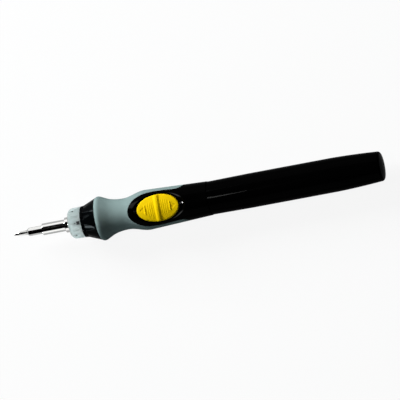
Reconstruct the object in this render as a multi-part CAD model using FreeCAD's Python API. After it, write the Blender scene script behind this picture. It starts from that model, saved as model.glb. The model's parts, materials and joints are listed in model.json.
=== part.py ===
import FreeCAD, Part
import math
import os
from FreeCAD import Vector

# A battery screwdriver lying on its back, switch up, in millimetres.
# Every piece is drawn along +X from the tip of the bit, with the tool's axis at y = z = 0,
# and is moved into the row's frame at the end: +Z up, origin below the middle of the tool.

# Clearances shared by all pieces
OVERRUN = 1.0
RUN_FIT = 0.03
PRESS_GAP = 0.02
SEAT_GAP = 0.05
SLIDE_FIT = 0.1
SIDE_GAP = 0.2

# Screw bit with a hex shank
BIT_FLATS = 4.0
BIT_TURN = math.radians(13)
BIT_EXPOSED = 15.7
BIT_HELD = 12.6
BIT_CHAMFER = 0.3
TIP_R = 1.15
TIP_LENGTH = 7.0
TIP_POINT = 2.6
TIP_END_R = 0.3
TIP_CONE = 1.2
BLADE_T = 0.45
FLUTE_LENGTH = 4.6

# Bit holder, which is also the output spindle
HOLDER_R = 3.1
HOLDER_LENGTH = 12.65
HOLDER_EDGE = 0.15
SOCKET_FIT = 0.06
FLANGE_R = 4.0
FLANGE_T = 2.0
FLANGE_CONE = 0.5
SHANK_R = 2.5
TAIL_SHANK_R = 2.15
SHANK_FLAT = 1.7
MAGNET_R = 1.85
MAGNET_LENGTH = 2.9
CLIP_GROOVE = 0.5

# Spindle bush and the nose of the gear case
BUSH_WALL = 0.85
BUSH_FLANGE_T = 0.5
BUSH_FLANGE_STAND = 0.7
NOSE_WALL = 0.8

# Torque dial and its ring
SETTINGS = 7
DIAL_LENGTH = 7.3
DIAL_LEAD = 0.3
DIAL_MOUTH_WALL = 1.0
DIAL_WEB_T = 1.4
DIAL_ROUND = 2.8
DIAL_SKIN = 1.05
DIAL_FLARE = 0.3
FLUTE_R = 1.3
FLUTE_DEPTH = 0.3
FLUTE_RUN = 2.4
FLUTE_FROM_BACK = 1.9
CIRCLIP_T = 0.55
CIRCLIP_SEAT = 0.4
CIRCLIP_GROOVE = 0.3
CIRCLIP_STAND = 0.8
CLIP_MOUTH = 2.4

# Clutch between the dial and the ring gear
NUT_T = 1.5
NUT_WALL = 1.8
NUT_TRAVEL = 1.15
KEYS = 3
KEY_W = 1.6
KEY_DEPTH = 0.6
CLUTCH_SPRING_LENGTH = 3.65
CLUTCH_WIRE_R = 0.32
CLUTCH_TURNS = 3
WASHER_T = 0.6
WASHER_W = 1.9
BALLS = 6
BALL_R = 1.0
BALL_STAND = 0.3
BALL_INSET = 0.6
BALL_FIT = 0.06

# Planet gears, two equal stages
MODULE = 0.33
PRESSURE = math.radians(25)
SUN_TEETH = 6
PLANET_TEETH = 12
RING_TEETH = SUN_TEETH + 2 * PLANET_TEETH
PLANETS = 3
BACKLASH = 0.06
SUN_ADDENDUM_SHARE = 0.9
PLANET_ADDENDUM_SHARE = 0.7
ROOT_GAP_SHARE = 0.2
RING_WALL = 0.7
PIN_R = 0.7
PLANET_OUT_T = 3.6
PLANET_MID_T = 2.6
CARRIER_T = 1.2
CARRIER_R = 4.2
CLIP_T = 0.5
CLIP_STAND = 1.0

# Gear case
CASE_FRONT_T = 1.5
CASE_WALL = 0.75
CASE_FLANGE_W = 1.5
CASE_FLANGE_T = 1.5
CASE_FLANGE_INSET = 1.3

# Motor
MOTOR_R = 6.0
MOTOR_LENGTH = 12.5
CAN_WALL = 0.6
PLATE_T = 0.8
BOSS_R = 2.0
MOTOR_SCREW_R = 0.75
MOTOR_SCREW_HEAD_R = 1.1
MOTOR_SCREW_HEAD_T = 0.6
MOTOR_SCREW_LENGTH = 2.0
MOTOR_SCREW_SPREAD = 3.3
SHAFT_R = 0.5
POLE_MAGNET_T = 1.1
POLE_MAGNET_LENGTH = 7.0
POLE_MAGNET_SPAN = 120.0
AIR_GAP = 0.3
CORE_LENGTH = 5.6
CORE_FROM_FRONT = 2.4
POLES = 3
POLE_HEAD_T = 0.9
POLE_NECK_W = 1.5
POLE_SPAN = 96.0
WINDING_T = 0.9
COMMUTATOR_R = 1.6
COMMUTATOR_LENGTH = 2.8
COMMUTATOR_SLIT = 0.3
END_CAP_T = 2.0
END_BOSS_T = 1.2
END_BOSS_R = 2.2
TERMINAL_T = 0.3
TERMINAL_W = 1.6
TERMINAL_SPREAD = 3.6
TERMINAL_REACH = 3.0
BRUSH_DROP = 0.6

# Battery bay and the rear sleeve that covers it
CELL_R = 5.25
CELL_LENGTH = 44.5
CELL_NUB_R = 1.9
CELL_NUB = 0.8
CELL_EDGE = 0.5
CELLS = 2
CELL_FIT = 0.2
TROUGH_WALL = 1.15
TROUGH_LIP = 1.6
COVER_FIT = 0.2
BARREL_WALL = 2.3
TAIL_WALL = 1.15
SPIGOT_STEP = 0.8
SPIGOT_HELD = 5.2
SPIGOT_PLUG = 5.1
SPIGOT_WALL_T = 1.4
CRADLE_FLANGE_W = 0.8
CRADLE_FLANGE_T = 1.5
CRADLE_FLANGE_INSET = 0.9
CRADLE_END_T = 1.4
CONTACT_T = 0.3
CONTACT_R = 3.6
CONTACT_TAB_W = 2.2
BATTERY_SPRING_LENGTH = 3.9
BATTERY_SPRING_R = 3.0
BATTERY_WIRE_R = 0.35
BATTERY_TURNS = 2
STRIP_W = 2.4
STRIP_FIT = 0.1
TAIL_ROOM = 0.3
TAIL_END_T = 1.3
TAIL_DOME = 2.3
TAIL_ROUND = 1.5
TAIL_TAPER = 24.0
TAIL_BULGE = 0.18
SEAM_GAP = 0.15
SEAM_ROUND = 0.35
MOUTH_DROP = 0.25
MOUTH_TAPER = 22.0

# Handle shells and the soft grip sleeve
SEAM_STEP = 0.2
BACK_WALL = 1.65
SHELL_WALL = 1.2
SLEEVE_T = 1.1
RIM_R = 11.75
RIM_FROM_FRONT = 1.5
RIM_DROP = 0.6
RIM_BACK_DROP = 0.5
RIM_BACK_FROM_FRONT = 3.2
NECK_SHARE = 0.33
NECK_FROM_FRONT = 7.0
WAIST_FROM_FRONT = 12.7
WAIST_LENGTH = 3.6
RISE_SHARE = 0.74
RISE_LEAD = 11.5
SWELL = 1.55
SWELL_LEAD = 7.0
BEZEL_RIM_W = 0.35
BEZEL_LEAD = 3.3
BEZEL_WIDE_LEAD = 3.8
BEZEL_PINCH = 0.4
BEZEL_PINCH_TAIL = 6.5
SLEEVE_PAST_DISH = 1.0
SEAM_PAST_DISH = 12.85
MOTOR_STOP_T = 1.0
MOTOR_STOP_H = 0.9

# Nose collar between the dial and the grip
COLLAR_LENGTH = 8.35
COLLAR_LIP = 1.7
COLLAR_LIP_RISE = 0.12
SCALLOPS = 8
SCALLOP_DEPTH = 0.5
SCALLOP_RUN = 4.2
SCALLOP_SETBACK = 1.2
SKIRT_WALL = 1.8
SKIRT_LENGTH = 1.95
COLLAR_ROOM = 0.35

# Thumb switch
SWITCH_LEAD = 2.5
SWITCH_TRAVEL = 1.6
BUTTON_HALF_L = 11.4
BUTTON_HALF_W = 7.1
BUTTON_GAP = 0.6
BUTTON_LIFT = 0.2
BUTTON_STAND = 0.15
CROWN_R = 20.0
CROWN_SAG = 0.75
CROWN_REACH = 14.0
RIDGE_W = 2.9
RIDGE_H = 0.75
MARK_RIDGE_W = 1.0
MARK_RIDGE_L = 4.8
MARK_RIDGE_H = 0.35
MARK_RIDGE_AT = 6.8
FLOOR_T = 1.2
DISH_FLARE_L = 4.1
DISH_FLARE_W = 0.9
DISH_FLARE_DROP = 1.9
STEM_L = 3.4
STEM_W = 2.6
STEM_SINK = 1.0
CARRIAGE_L = 8.0
CARRIAGE_W = 8.0
CARRIAGE_H = 3.6
CARRIAGE_FOOT = 0.65
COLLAR_L = 5.2
COLLAR_W = 4.6
COLLAR_RISE = 2.2
FRAME_WALL = 1.4
FRAME_H = 4.4
RETURN_SPRING_LENGTH = 3.4
RETURN_SPRING_R = 1.2
RETURN_WIRE_R = 0.18
RETURN_TURNS = 3
BRIDGE_W = 1.4
BRIDGE_T = 0.25
BRIDGE_L = 6.4
BRIDGE_SPREAD = 2.5
BRIDGE_FOOT = 1.0
PAD_L = 3.0
PAD_W = 1.8
PAD_T = 0.06
PAD_PITCH = 5.0
BOARD_T = 0.8
BOARD_W = 11.0
BOARD_LEAD = 0.5
BOARD_TAIL = 4.4
BOARD_RIB_T = 1.2
BOARD_RIB_INSET = 3.2

# Two screws that close the shells
SCREW_R = 0.9
SCREW_HEAD_R = 1.6
SCREW_HEAD_T = 1.2
SCREW_REACH = 4.4
SCREW_SPREAD = 4.4
SCREW_INSET = 2.2
SCREW_SINK = 0.9
BOSS_WALL = 1.05

# Radii worked out from the middle of the tool to its skin
BUSH_R = SHANK_R + RUN_FIT + BUSH_WALL
NOSE_R = BUSH_R + PRESS_GAP + NOSE_WALL
CIRCLIP_R = NOSE_R + CIRCLIP_STAND
NUT_R = NOSE_R + SLIDE_FIT + NUT_WALL
DIAL_INNER_R = NUT_R + SIDE_GAP
KEY_R = DIAL_INNER_R + KEY_DEPTH
DIAL_FRONT_R = KEY_R + DIAL_SKIN
DIAL_BACK_R = DIAL_FRONT_R + DIAL_FLARE
DIAL_MOUTH_R = CIRCLIP_R + SIDE_GAP
CLUTCH_SPRING_R = (NOSE_R + DIAL_INNER_R) / 2
BIT_CORNER_R = BIT_FLATS / math.sqrt(3)
SOCKET_FLATS = BIT_FLATS + 2 * SOCKET_FIT
SUN_PITCH_R = MODULE * SUN_TEETH / 2
PLANET_PITCH_R = MODULE * PLANET_TEETH / 2
RING_PITCH_R = MODULE * RING_TEETH / 2
ORBIT_R = SUN_PITCH_R + PLANET_PITCH_R
SUN_TIP_R = SUN_PITCH_R + SUN_ADDENDUM_SHARE * MODULE
SUN_ROOT_R = SUN_PITCH_R - (PLANET_ADDENDUM_SHARE + ROOT_GAP_SHARE) * MODULE
PLANET_TIP_R = PLANET_PITCH_R + PLANET_ADDENDUM_SHARE * MODULE
PLANET_ROOT_R = PLANET_PITCH_R - (SUN_ADDENDUM_SHARE + ROOT_GAP_SHARE) * MODULE
RING_TIP_R = RING_PITCH_R - PLANET_ADDENDUM_SHARE * MODULE
RING_ROOT_R = RING_PITCH_R + (PLANET_ADDENDUM_SHARE + ROOT_GAP_SHARE) * MODULE
RING_R = RING_ROOT_R + RING_WALL
BALL_CIRCLE_R = RING_R - BALL_INSET
CASE_R = RING_R + SEAT_GAP + CASE_WALL
CASE_FLANGE_R = CASE_R + CASE_FLANGE_W
CAN_IN_R = MOTOR_R - CAN_WALL
POLE_MAGNET_R = CAN_IN_R - PRESS_GAP
ARMATURE_R = POLE_MAGNET_R - POLE_MAGNET_T - AIR_GAP
TROUGH_IN_R = CELL_R + CELL_FIT
TROUGH_R = TROUGH_IN_R + TROUGH_WALL
COVER_BORE_R = TROUGH_R + COVER_FIT
BARREL_R = COVER_BORE_R + BARREL_WALL
TAIL_R = COVER_BORE_R + TAIL_WALL
SPIGOT_R = COVER_BORE_R + SPIGOT_STEP
CRADLE_FLANGE_R = SPIGOT_R + CRADLE_FLANGE_W
MOUTH_R = BARREL_R - MOUTH_DROP
BACK_R = MOUTH_R + SEAM_STEP
CAVITY_R = BACK_R - BACK_WALL
WAIST_R = MOTOR_R + SLIDE_FIT + SHELL_WALL + SLEEVE_T
SWELL_R = BACK_R + SWELL
GRIP_EDGE_R = RIM_R - RIM_DROP
RIM_BACK_R = RIM_R - RIM_BACK_DROP
NECK_R = WAIST_R + NECK_SHARE * (RIM_R - WAIST_R)
RISE_R = WAIST_R + RISE_SHARE * (SWELL_R - WAIST_R)
SKIRT_R = GRIP_EDGE_R - SKIRT_WALL
COLLAR_IN_R = DIAL_INNER_R + SIDE_GAP
COLLAR_LIP_R = DIAL_BACK_R + COLLAR_LIP_RISE
FLOOR_R = CAVITY_R + FLOOR_T
DISH_HALF_L = BUTTON_HALF_L + SWITCH_TRAVEL + BUTTON_GAP
DISH_HALF_W = BUTTON_HALF_W + BUTTON_GAP
BEZEL_HALF_W = DISH_HALF_W + DISH_FLARE_W + BEZEL_RIM_W
FRAME_HALF_L = CARRIAGE_L / 2 + RETURN_SPRING_LENGTH + FRAME_WALL

# Places along the tool, from the tip to the rear
X_HOLDER = BIT_EXPOSED
X_BIT_END = BIT_EXPOSED + BIT_HELD
X_SOCKET_END = X_BIT_END + SEAT_GAP
X_FLANGE = X_HOLDER + HOLDER_LENGTH
X_FLANGE_BACK = X_FLANGE + FLANGE_T
X_BUSH = X_FLANGE_BACK + SEAT_GAP
X_NOSE = X_BUSH + BUSH_FLANGE_T
X_DIAL = X_NOSE - DIAL_LEAD
X_DIAL_BACK = X_DIAL + DIAL_LENGTH
X_CIRCLIP = X_NOSE + CIRCLIP_SEAT
X_WEB = X_CIRCLIP + CIRCLIP_T + SEAT_GAP
X_WEB_BACK = X_WEB + DIAL_WEB_T
X_NUT = X_WEB_BACK + NUT_TRAVEL
X_SPRING = X_NUT + NUT_T
X_WASHER = X_SPRING + CLUTCH_SPRING_LENGTH
X_BALL = X_WASHER + WASHER_T + BALL_R
X_CASE = X_WASHER + WASHER_T + BALL_STAND
X_CASE_IN = X_CASE + CASE_FRONT_T
X_RING = X_CASE_IN + SEAT_GAP
X_CLIP = X_CASE_IN + SIDE_GAP
X_CARRIER = X_CLIP + CLIP_T + SIDE_GAP
X_CARRIER_BACK = X_CARRIER + CARRIER_T
X_PLANET_OUT = X_CARRIER_BACK + SIDE_GAP
X_PLANET_OUT_BACK = X_PLANET_OUT + PLANET_OUT_T
X_MID = X_PLANET_OUT_BACK + SIDE_GAP
X_MID_BACK = X_MID + CARRIER_T
X_PLANET_MID = X_MID_BACK + SIDE_GAP
X_PLANET_MID_BACK = X_PLANET_MID + PLANET_MID_T
X_PLATE = X_PLANET_MID_BACK + 2 * SIDE_GAP + MOTOR_SCREW_HEAD_T
X_MOTOR = X_PLATE + PLATE_T
X_MOTOR_BACK = X_MOTOR + MOTOR_LENGTH
X_CAP_BACK = X_MOTOR_BACK + END_CAP_T
X_STOP = X_CAP_BACK + SEAT_GAP
X_CAVITY = X_STOP + MOTOR_STOP_T
X_COLLAR = X_DIAL_BACK + SLIDE_FIT
X_COLLAR_BACK = X_COLLAR + COLLAR_LENGTH
X_GRIP = X_COLLAR_BACK + SLIDE_FIT
X_SKIRT = X_COLLAR_BACK - SKIRT_LENGTH
X_SHELL = X_SKIRT + SLIDE_FIT
X_CASE_FLANGE = X_GRIP + CASE_FLANGE_INSET
X_SWITCH = X_CAVITY + SWITCH_LEAD + FRAME_HALF_L
X_DISH = X_SWITCH - DISH_HALF_L
X_DISH_BACK = X_SWITCH + DISH_HALF_L
X_RISE = X_SWITCH - RISE_LEAD
X_SWELL = X_SWITCH - SWELL_LEAD
X_SLEEVE_BACK = X_DISH_BACK + SLEEVE_PAST_DISH
X_SEAM = X_DISH_BACK + SEAM_PAST_DISH
X_CRADLE = X_SEAM - SPIGOT_HELD
X_CAVITY_BACK = X_CRADLE - SEAT_GAP
X_CONTACT = X_CRADLE + SPIGOT_WALL_T
X_CELL = X_CONTACT + CONTACT_T
X_CELLS_BACK = X_CELL + CELLS * CELL_LENGTH
X_REAR_PLATE = X_CELLS_BACK + BATTERY_SPRING_LENGTH
X_CRADLE_END = X_REAR_PLATE + CONTACT_T
X_CRADLE_BACK = X_CRADLE_END + CRADLE_END_T
X_SPIGOT_BACK = X_SEAM + SPIGOT_PLUG
X_COVER = X_SEAM + SEAM_GAP
X_COVER_FLOOR = X_CRADLE_BACK + TAIL_ROOM
X_TAIL_EDGE = X_COVER_FLOOR + TAIL_END_T
X_END = X_TAIL_EDGE + TAIL_DOME
BOARD_X0 = X_CAVITY + BOARD_LEAD
BOARD_X1 = X_CAVITY_BACK - BOARD_TAIL
X_SCREWS = X_CAVITY_BACK - SCREW_INSET

CENTRE = Vector(0, 0, 0)
ALONG = Vector(1, 0, 0)
ACROSS = Vector(0, 1, 0)
UP = Vector(0, 0, 1)
FULL_TURN = 360.0


def at(x, radius):
    """A point of a half outline above the tool's axis."""
    return Vector(x, 0, radius)


def straight(*points):
    """Straight edges through a row of points."""
    return [Part.makeLine(a, b) for a, b in zip(points, points[1:])]


def curve(points, first=None, last=None):
    """A smooth edge through points, with a direction at either end if one is given."""
    spline = Part.BSplineCurve()
    if first is None:
        spline.interpolate(Points=points)
    else:
        first.normalize()
        last.normalize()
        spline.interpolate(Points=points, InitialTangent=first, FinalTangent=last, Scale=False)
    return spline.toShape()


def bow(start, middle, end):
    """A round edge through three points."""
    return Part.Arc(start, middle, end).toShape()


def revolved(edges):
    """A solid turned about the tool's axis from a closed half outline."""
    return Part.Face(Part.Wire(edges)).revolve(CENTRE, ALONG, FULL_TURN)


def turned(*pairs):
    """A solid turned about the tool's axis from a closed half outline of straight lines."""
    points = [at(x, radius) for x, radius in pairs]
    return revolved(straight(*points, points[0]))


def rod(x0, x1, radius, y=0, z=0):
    """A round rod along X."""
    return Part.makeCylinder(radius, x1 - x0, Vector(x0, y, z), ALONG)


def ring(x0, x1, outer, inner):
    """A round ring about the tool's axis."""
    return rod(x0, x1, outer).cut(rod(x0 - OVERRUN, x1 + OVERRUN, inner))


def post(x, y, z0, z1, radius):
    """An upright round post."""
    return Part.makeCylinder(radius, z1 - z0, Vector(x, y, z0), UP)


def block(x0, x1, y0, y1, z0, z1):
    """A box between two corners."""
    return Part.makeBox(x1 - x0, y1 - y0, z1 - z0, Vector(x0, y0, z0))


def middle_block(x, y, length, width, z0, z1):
    """A box centred on a point of the plan."""
    return block(x - length / 2, x + length / 2, y - width / 2, y + width / 2, z0, z1)


def around(shape, count, start=0.0):
    """Copies of a shape in a ring about the tool's axis."""
    copies = []
    for index in range(count):
        copy = shape.copy()
        copy.rotate(CENTRE, ALONG, start + index * FULL_TURN / count)
        copies.append(copy)
    return copies


def fused(shapes):
    """One solid from shapes that overlap."""
    return shapes[0].multiFuse(shapes[1:]).removeSplitter()


def hexagon(x0, x1, flats):
    """A hexagonal bar along X, turned as the bit in the photo is."""
    corner = flats / math.sqrt(3)
    angles = [math.pi / 3 * index + BIT_TURN for index in range(6)]
    points = [Vector(x0, corner * math.cos(a), corner * math.sin(a)) for a in angles]
    return Part.Face(Part.makePolygon(points + points[:1])).extrude(Vector(x1 - x0, 0, 0))


def oval(x, half_length, half_width, z):
    """An oval wire in a level plane."""
    ellipse = Part.Ellipse(Vector(x, 0, z), half_length, half_width)
    return Part.Wire(ellipse.toShape())


def oval_block(x, half_length, half_width, z0, z1):
    """An upright oval block."""
    return Part.Face(oval(x, half_length, half_width, z0)).extrude(Vector(0, 0, z1 - z0))


def coil_spring(x0, x1, radius, wire_r, turns, z=0):
    """A coil of round wire about a line along X, as one tube on half-turn arcs."""
    first = x0 + wire_r
    rise = (x1 - x0 - 2 * wire_r) / turns

    def on_coil(turn):
        angle = 2 * math.pi * turn
        return Vector(first + rise * turn, radius * math.cos(angle), z + radius * math.sin(angle))

    halves = [index / 2 for index in range(2 * turns)]
    path = Part.Wire([bow(on_coil(h), on_coil(h + 1 / 4), on_coil(h + 1 / 2)) for h in halves])
    heading = path.Edges[0].tangentAt(path.Edges[0].FirstParameter)
    section = Part.Wire(Part.Circle(on_coil(0), heading, wire_r).toShape())
    sweep = Part.BRepOffsetAPI.MakePipeShell(path)
    sweep.add(section)
    sweep.build()
    sweep.makeSolid()
    print("coil gap between turns", round(rise - 2 * wire_r, 2))
    return sweep.shape()


def involute(angle):
    """The involute of a pressure angle."""
    return math.tan(angle) - angle


def tooth_half_angle(teeth, radius, thinning):
    """Half the angle that a gear tooth covers at a radius."""
    pitch_r = MODULE * teeth / 2
    slope = math.acos(min(1.0, pitch_r * math.cos(PRESSURE) / radius))
    full = math.pi / (2 * teeth) - thinning / (2 * pitch_r)
    return full + involute(PRESSURE) - involute(slope)


def gear(x0, x1, teeth, root_r, tip_r, thinning, turn=0.0):
    """A toothed bar along X, one tooth pointing along +Y when turn is zero."""
    middle_r = (root_r + tip_r) / 2
    root, middle, tip = [tooth_half_angle(teeth, r, thinning) for r in (root_r, middle_r, tip_r)]
    pitch = 2 * math.pi / teeth

    def spot(radius, angle):
        return Vector(x0, radius * math.cos(angle), radius * math.sin(angle))

    edges = []
    for index in range(teeth):
        a = turn + index * pitch
        edges.append(bow(spot(root_r, a - root), spot(middle_r, a - middle), spot(tip_r, a - tip)))
        edges.append(bow(spot(tip_r, a - tip), spot(tip_r, a), spot(tip_r, a + tip)))
        edges.append(bow(spot(tip_r, a + tip), spot(middle_r, a + middle), spot(root_r, a + root)))
        edges.append(bow(spot(root_r, a + root), spot(root_r, a + pitch / 2), spot(root_r, a + pitch - root)))
    return Part.Face(Part.Wire(edges)).extrude(Vector(x1 - x0, 0, 0))


def split_ring(x0, x1, outer, inner):
    """A spring clip: a ring with an open mouth underneath."""
    mouth = block(x0 - OVERRUN, x1 + OVERRUN, -CLIP_MOUTH / 2, CLIP_MOUTH / 2, -outer - OVERRUN, 0)
    return ring(x0, x1, outer, inner).cut(mouth)


def grip_outline(inset):
    """The handle's half outline from the grip's front edge to the seam, sunk by an inset."""
    taper = at(X_SEAM - X_SWELL, BACK_R - SWELL_R)
    points = [
        at(X_GRIP, GRIP_EDGE_R - inset),
        at(X_GRIP + RIM_FROM_FRONT, RIM_R - inset),
        at(X_GRIP + RIM_BACK_FROM_FRONT, RIM_BACK_R - inset),
        at(X_GRIP + NECK_FROM_FRONT, NECK_R - inset),
        at(X_GRIP + WAIST_FROM_FRONT, WAIST_R - inset),
        at(X_GRIP + WAIST_FROM_FRONT + WAIST_LENGTH, WAIST_R - inset),
        at(X_RISE, RISE_R - inset),
        at(X_SWELL, SWELL_R - inset),
    ]
    rising = at(RIM_FROM_FRONT, 2 * RIM_DROP)
    back = at(X_SEAM, BACK_R - inset)
    return [curve(points, rising, taper)] + straight(points[-1], back)


def handle_form(inset):
    """The handle as a full solid, from the grip's front edge to the seam, sunk by an inset."""
    edges = grip_outline(inset)
    front = at(X_GRIP, GRIP_EDGE_R - inset)
    back = at(X_SEAM, BACK_R - inset)
    return revolved(edges + straight(back, at(X_SEAM, 0), at(X_GRIP, 0), front))


def bare_zone(margin):
    """Where the soft sleeve is left away: the oval round the switch and all behind the sleeve."""
    top = RIM_R + OVERRUN
    half = BEZEL_HALF_W + margin
    x_front = X_DISH - BEZEL_LEAD - margin
    x_wide = X_SWITCH - BEZEL_WIDE_LEAD
    x_pinch = X_SWITCH + BEZEL_PINCH_TAIL
    x_back = X_SLEEVE_BACK - margin
    flare = BACK_R + SWELL_R / 2
    round_end = math.sqrt(2) / 2
    middle = Vector(x_wide - (x_wide - x_front) * round_end, half * round_end, 0)
    side = [
        Vector(x_front, 0, 0),
        middle,
        Vector(x_wide, half, 0),
        Vector(x_pinch, half - BEZEL_PINCH, 0),
        Vector(x_back, SWELL_R - SLEEVE_T / 2, 0),
        Vector(x_back + SWELL, flare, 0),
    ]
    near = curve(side, Vector(0, 1, 0), Vector(1, 1, 0))
    far = near.mirror(CENTRE, ACROSS)
    ends = straight(side[-1], Vector(side[-1].x, -flare, 0))
    tongue = Part.Face(Part.Wire([near] + ends + [far])).extrude(Vector(0, 0, top))
    behind = block(x_back, X_SEAM + OVERRUN, -top, top, -top, top)
    return fused([tongue, behind])


def soft_skin(inset, margin):
    """The layer that the soft sleeve fills, from the skin of the handle down to an inset."""
    return handle_form(0).cut(handle_form(inset)).cut(bare_zone(margin))


def make_screw_bit():
    """Cross-head bit with a hex shank."""
    outline = turned(
        (0, 0),
        (0, TIP_END_R),
        (TIP_POINT, TIP_R),
        (TIP_LENGTH, TIP_R),
        (TIP_LENGTH + TIP_CONE, BIT_CORNER_R),
        (X_BIT_END - BIT_CHAMFER, BIT_CORNER_R),
        (X_BIT_END, BIT_CORNER_R - BIT_CHAMFER),
        (X_BIT_END, 0),
    )
    bit = outline.common(hexagon(-OVERRUN, X_BIT_END + OVERRUN, BIT_FLATS))
    edge = BLADE_T / 2
    flute = block(-OVERRUN, FLUTE_LENGTH + OVERRUN, edge, edge + 2 * TIP_R, edge, edge + 2 * TIP_R)
    lift = math.degrees(math.atan2(TIP_R, FLUTE_LENGTH))
    flute.rotate(CENTRE, Vector(0, 1, -1), -lift)
    return bit.cut(Part.makeCompound(around(flute, 4)))


def make_bit_holder():
    """Chrome holder with a hex socket, a flange and the spindle behind it."""
    edges = [
        (X_HOLDER, 0),
        (X_HOLDER, HOLDER_R - HOLDER_EDGE),
        (X_HOLDER + HOLDER_EDGE, HOLDER_R),
        (X_FLANGE, HOLDER_R),
        (X_FLANGE + FLANGE_CONE, FLANGE_R),
        (X_FLANGE_BACK, FLANGE_R),
        (X_FLANGE_BACK, SHANK_R),
        (X_CLIP, SHANK_R),
        (X_CLIP, SHANK_R - CLIP_GROOVE),
        (X_CLIP + CLIP_T + SEAT_GAP, SHANK_R - CLIP_GROOVE),
        (X_CLIP + CLIP_T + SEAT_GAP, TAIL_SHANK_R),
        (X_CARRIER_BACK, TAIL_SHANK_R),
        (X_CARRIER_BACK, 0),
    ]
    body = turned(*edges)
    flats = [
        block(X_CARRIER, X_CARRIER_BACK + OVERRUN, -SHANK_R, SHANK_R, SHANK_FLAT, SHANK_R),
        block(X_CARRIER, X_CARRIER_BACK + OVERRUN, -SHANK_R, SHANK_R, -SHANK_R, -SHANK_FLAT),
    ]
    magnet_end = X_SOCKET_END + MAGNET_LENGTH + SEAT_GAP
    socket = hexagon(X_HOLDER - OVERRUN, X_SOCKET_END, SOCKET_FLATS)
    pocket = rod(X_SOCKET_END - SEAT_GAP, magnet_end, MAGNET_R + PRESS_GAP)
    return body.cut(Part.makeCompound(flats)).cut(socket).cut(pocket)


def make_spindle_bush():
    """Bronze bush in the nose, with a thrust flange in front."""
    sleeve = ring(X_BUSH, X_CASE_IN, BUSH_R, SHANK_R + RUN_FIT)
    flange = ring(X_BUSH, X_NOSE, BUSH_R + BUSH_FLANGE_STAND, SHANK_R + RUN_FIT)
    return fused([sleeve, flange])


def make_torque_dial():
    """Rounded dial cup with shallow flutes outside and key slots inside."""
    turn_in = math.sqrt(2) / 2
    round_x = X_DIAL + DIAL_ROUND
    round_r = DIAL_FRONT_R - DIAL_ROUND
    shoulder = bow(
        at(X_DIAL, round_r),
        at(round_x - DIAL_ROUND * turn_in, round_r + DIAL_ROUND * turn_in),
        at(round_x, DIAL_FRONT_R),
    )
    rest = straight(
        at(round_x, DIAL_FRONT_R),
        at(X_DIAL_BACK, DIAL_BACK_R),
        at(X_DIAL_BACK, DIAL_INNER_R),
        at(X_WEB_BACK, DIAL_INNER_R),
        at(X_WEB_BACK, NOSE_R + SLIDE_FIT),
        at(X_WEB, NOSE_R + SLIDE_FIT),
        at(X_WEB, DIAL_MOUTH_R),
        at(X_DIAL, DIAL_MOUTH_R),
        at(X_DIAL, round_r),
    )
    cup = revolved([shoulder] + rest)
    half_key = KEY_W / 2 + SLIDE_FIT
    slot = block(X_WEB_BACK, X_DIAL_BACK + OVERRUN, -half_key, half_key, 0, KEY_R)
    flute_z = DIAL_BACK_R + FLUTE_R - FLUTE_DEPTH
    flute_back = X_DIAL_BACK - FLUTE_FROM_BACK
    flute = rod(flute_back - FLUTE_RUN, flute_back, FLUTE_R, 0, flute_z)
    ends = [Part.makeSphere(FLUTE_R, Vector(x, 0, flute_z)) for x in (flute_back - FLUTE_RUN, flute_back)]
    groove = fused([flute] + ends)
    cup = cup.cut(Part.makeCompound(around(slot, KEYS)))
    return cup.cut(Part.makeCompound(around(groove, SETTINGS, FULL_TURN / SETTINGS / 2)))


def make_clutch_nut():
    """Nut on the nose, keyed to the dial, that loads the clutch spring."""
    body = ring(X_NUT, X_SPRING, NUT_R, NOSE_R + SLIDE_FIT)
    key = block(X_NUT, X_SPRING, -KEY_W / 2, KEY_W / 2, NUT_R - NUT_WALL / 2, KEY_R - SLIDE_FIT)
    return fused([body] + around(key, KEYS))


def make_clutch_balls():
    """Balls in the case's front wall that hold the ring gear."""
    ball = Part.makeSphere(BALL_R, Vector(X_BALL, 0, BALL_CIRCLE_R))
    return Part.makeCompound(around(ball, BALLS))


def make_nose_collar():
    """Black cone behind the dial, with flats round it and a skirt over the shells."""
    cone_x = X_COLLAR + COLLAR_LIP
    cone = turned(
        (X_COLLAR, COLLAR_IN_R),
        (X_COLLAR, DIAL_BACK_R),
        (cone_x, COLLAR_LIP_R),
        (X_COLLAR_BACK, GRIP_EDGE_R),
        (X_COLLAR_BACK, SKIRT_R + SEAT_GAP),
        (X_SKIRT, SKIRT_R + SEAT_GAP),
        (X_SKIRT, CASE_R + SEAT_GAP),
        (X_CASE, CASE_R + SEAT_GAP),
        (X_CASE, COLLAR_IN_R),
    )
    slope = (GRIP_EDGE_R - COLLAR_LIP_R) / (X_COLLAR_BACK - cone_x)
    low = COLLAR_LIP_R - SCALLOP_DEPTH
    start = X_COLLAR + SCALLOP_SETBACK
    rise = SCALLOP_DEPTH + slope * SCALLOP_RUN
    end = cone_x + SCALLOP_RUN
    half = DIAL_BACK_R
    profile = straight(at(start, low), at(end, low + rise), at(start, low + rise), at(start, low))
    flat = Part.Face(Part.Wire(profile)).extrude(Vector(0, 2 * half, 0))
    flat.translate(Vector(0, -half, 0))
    return cone.cut(Part.makeCompound(around(flat, SCALLOPS, FULL_TURN / SCALLOPS / 2)))


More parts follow.
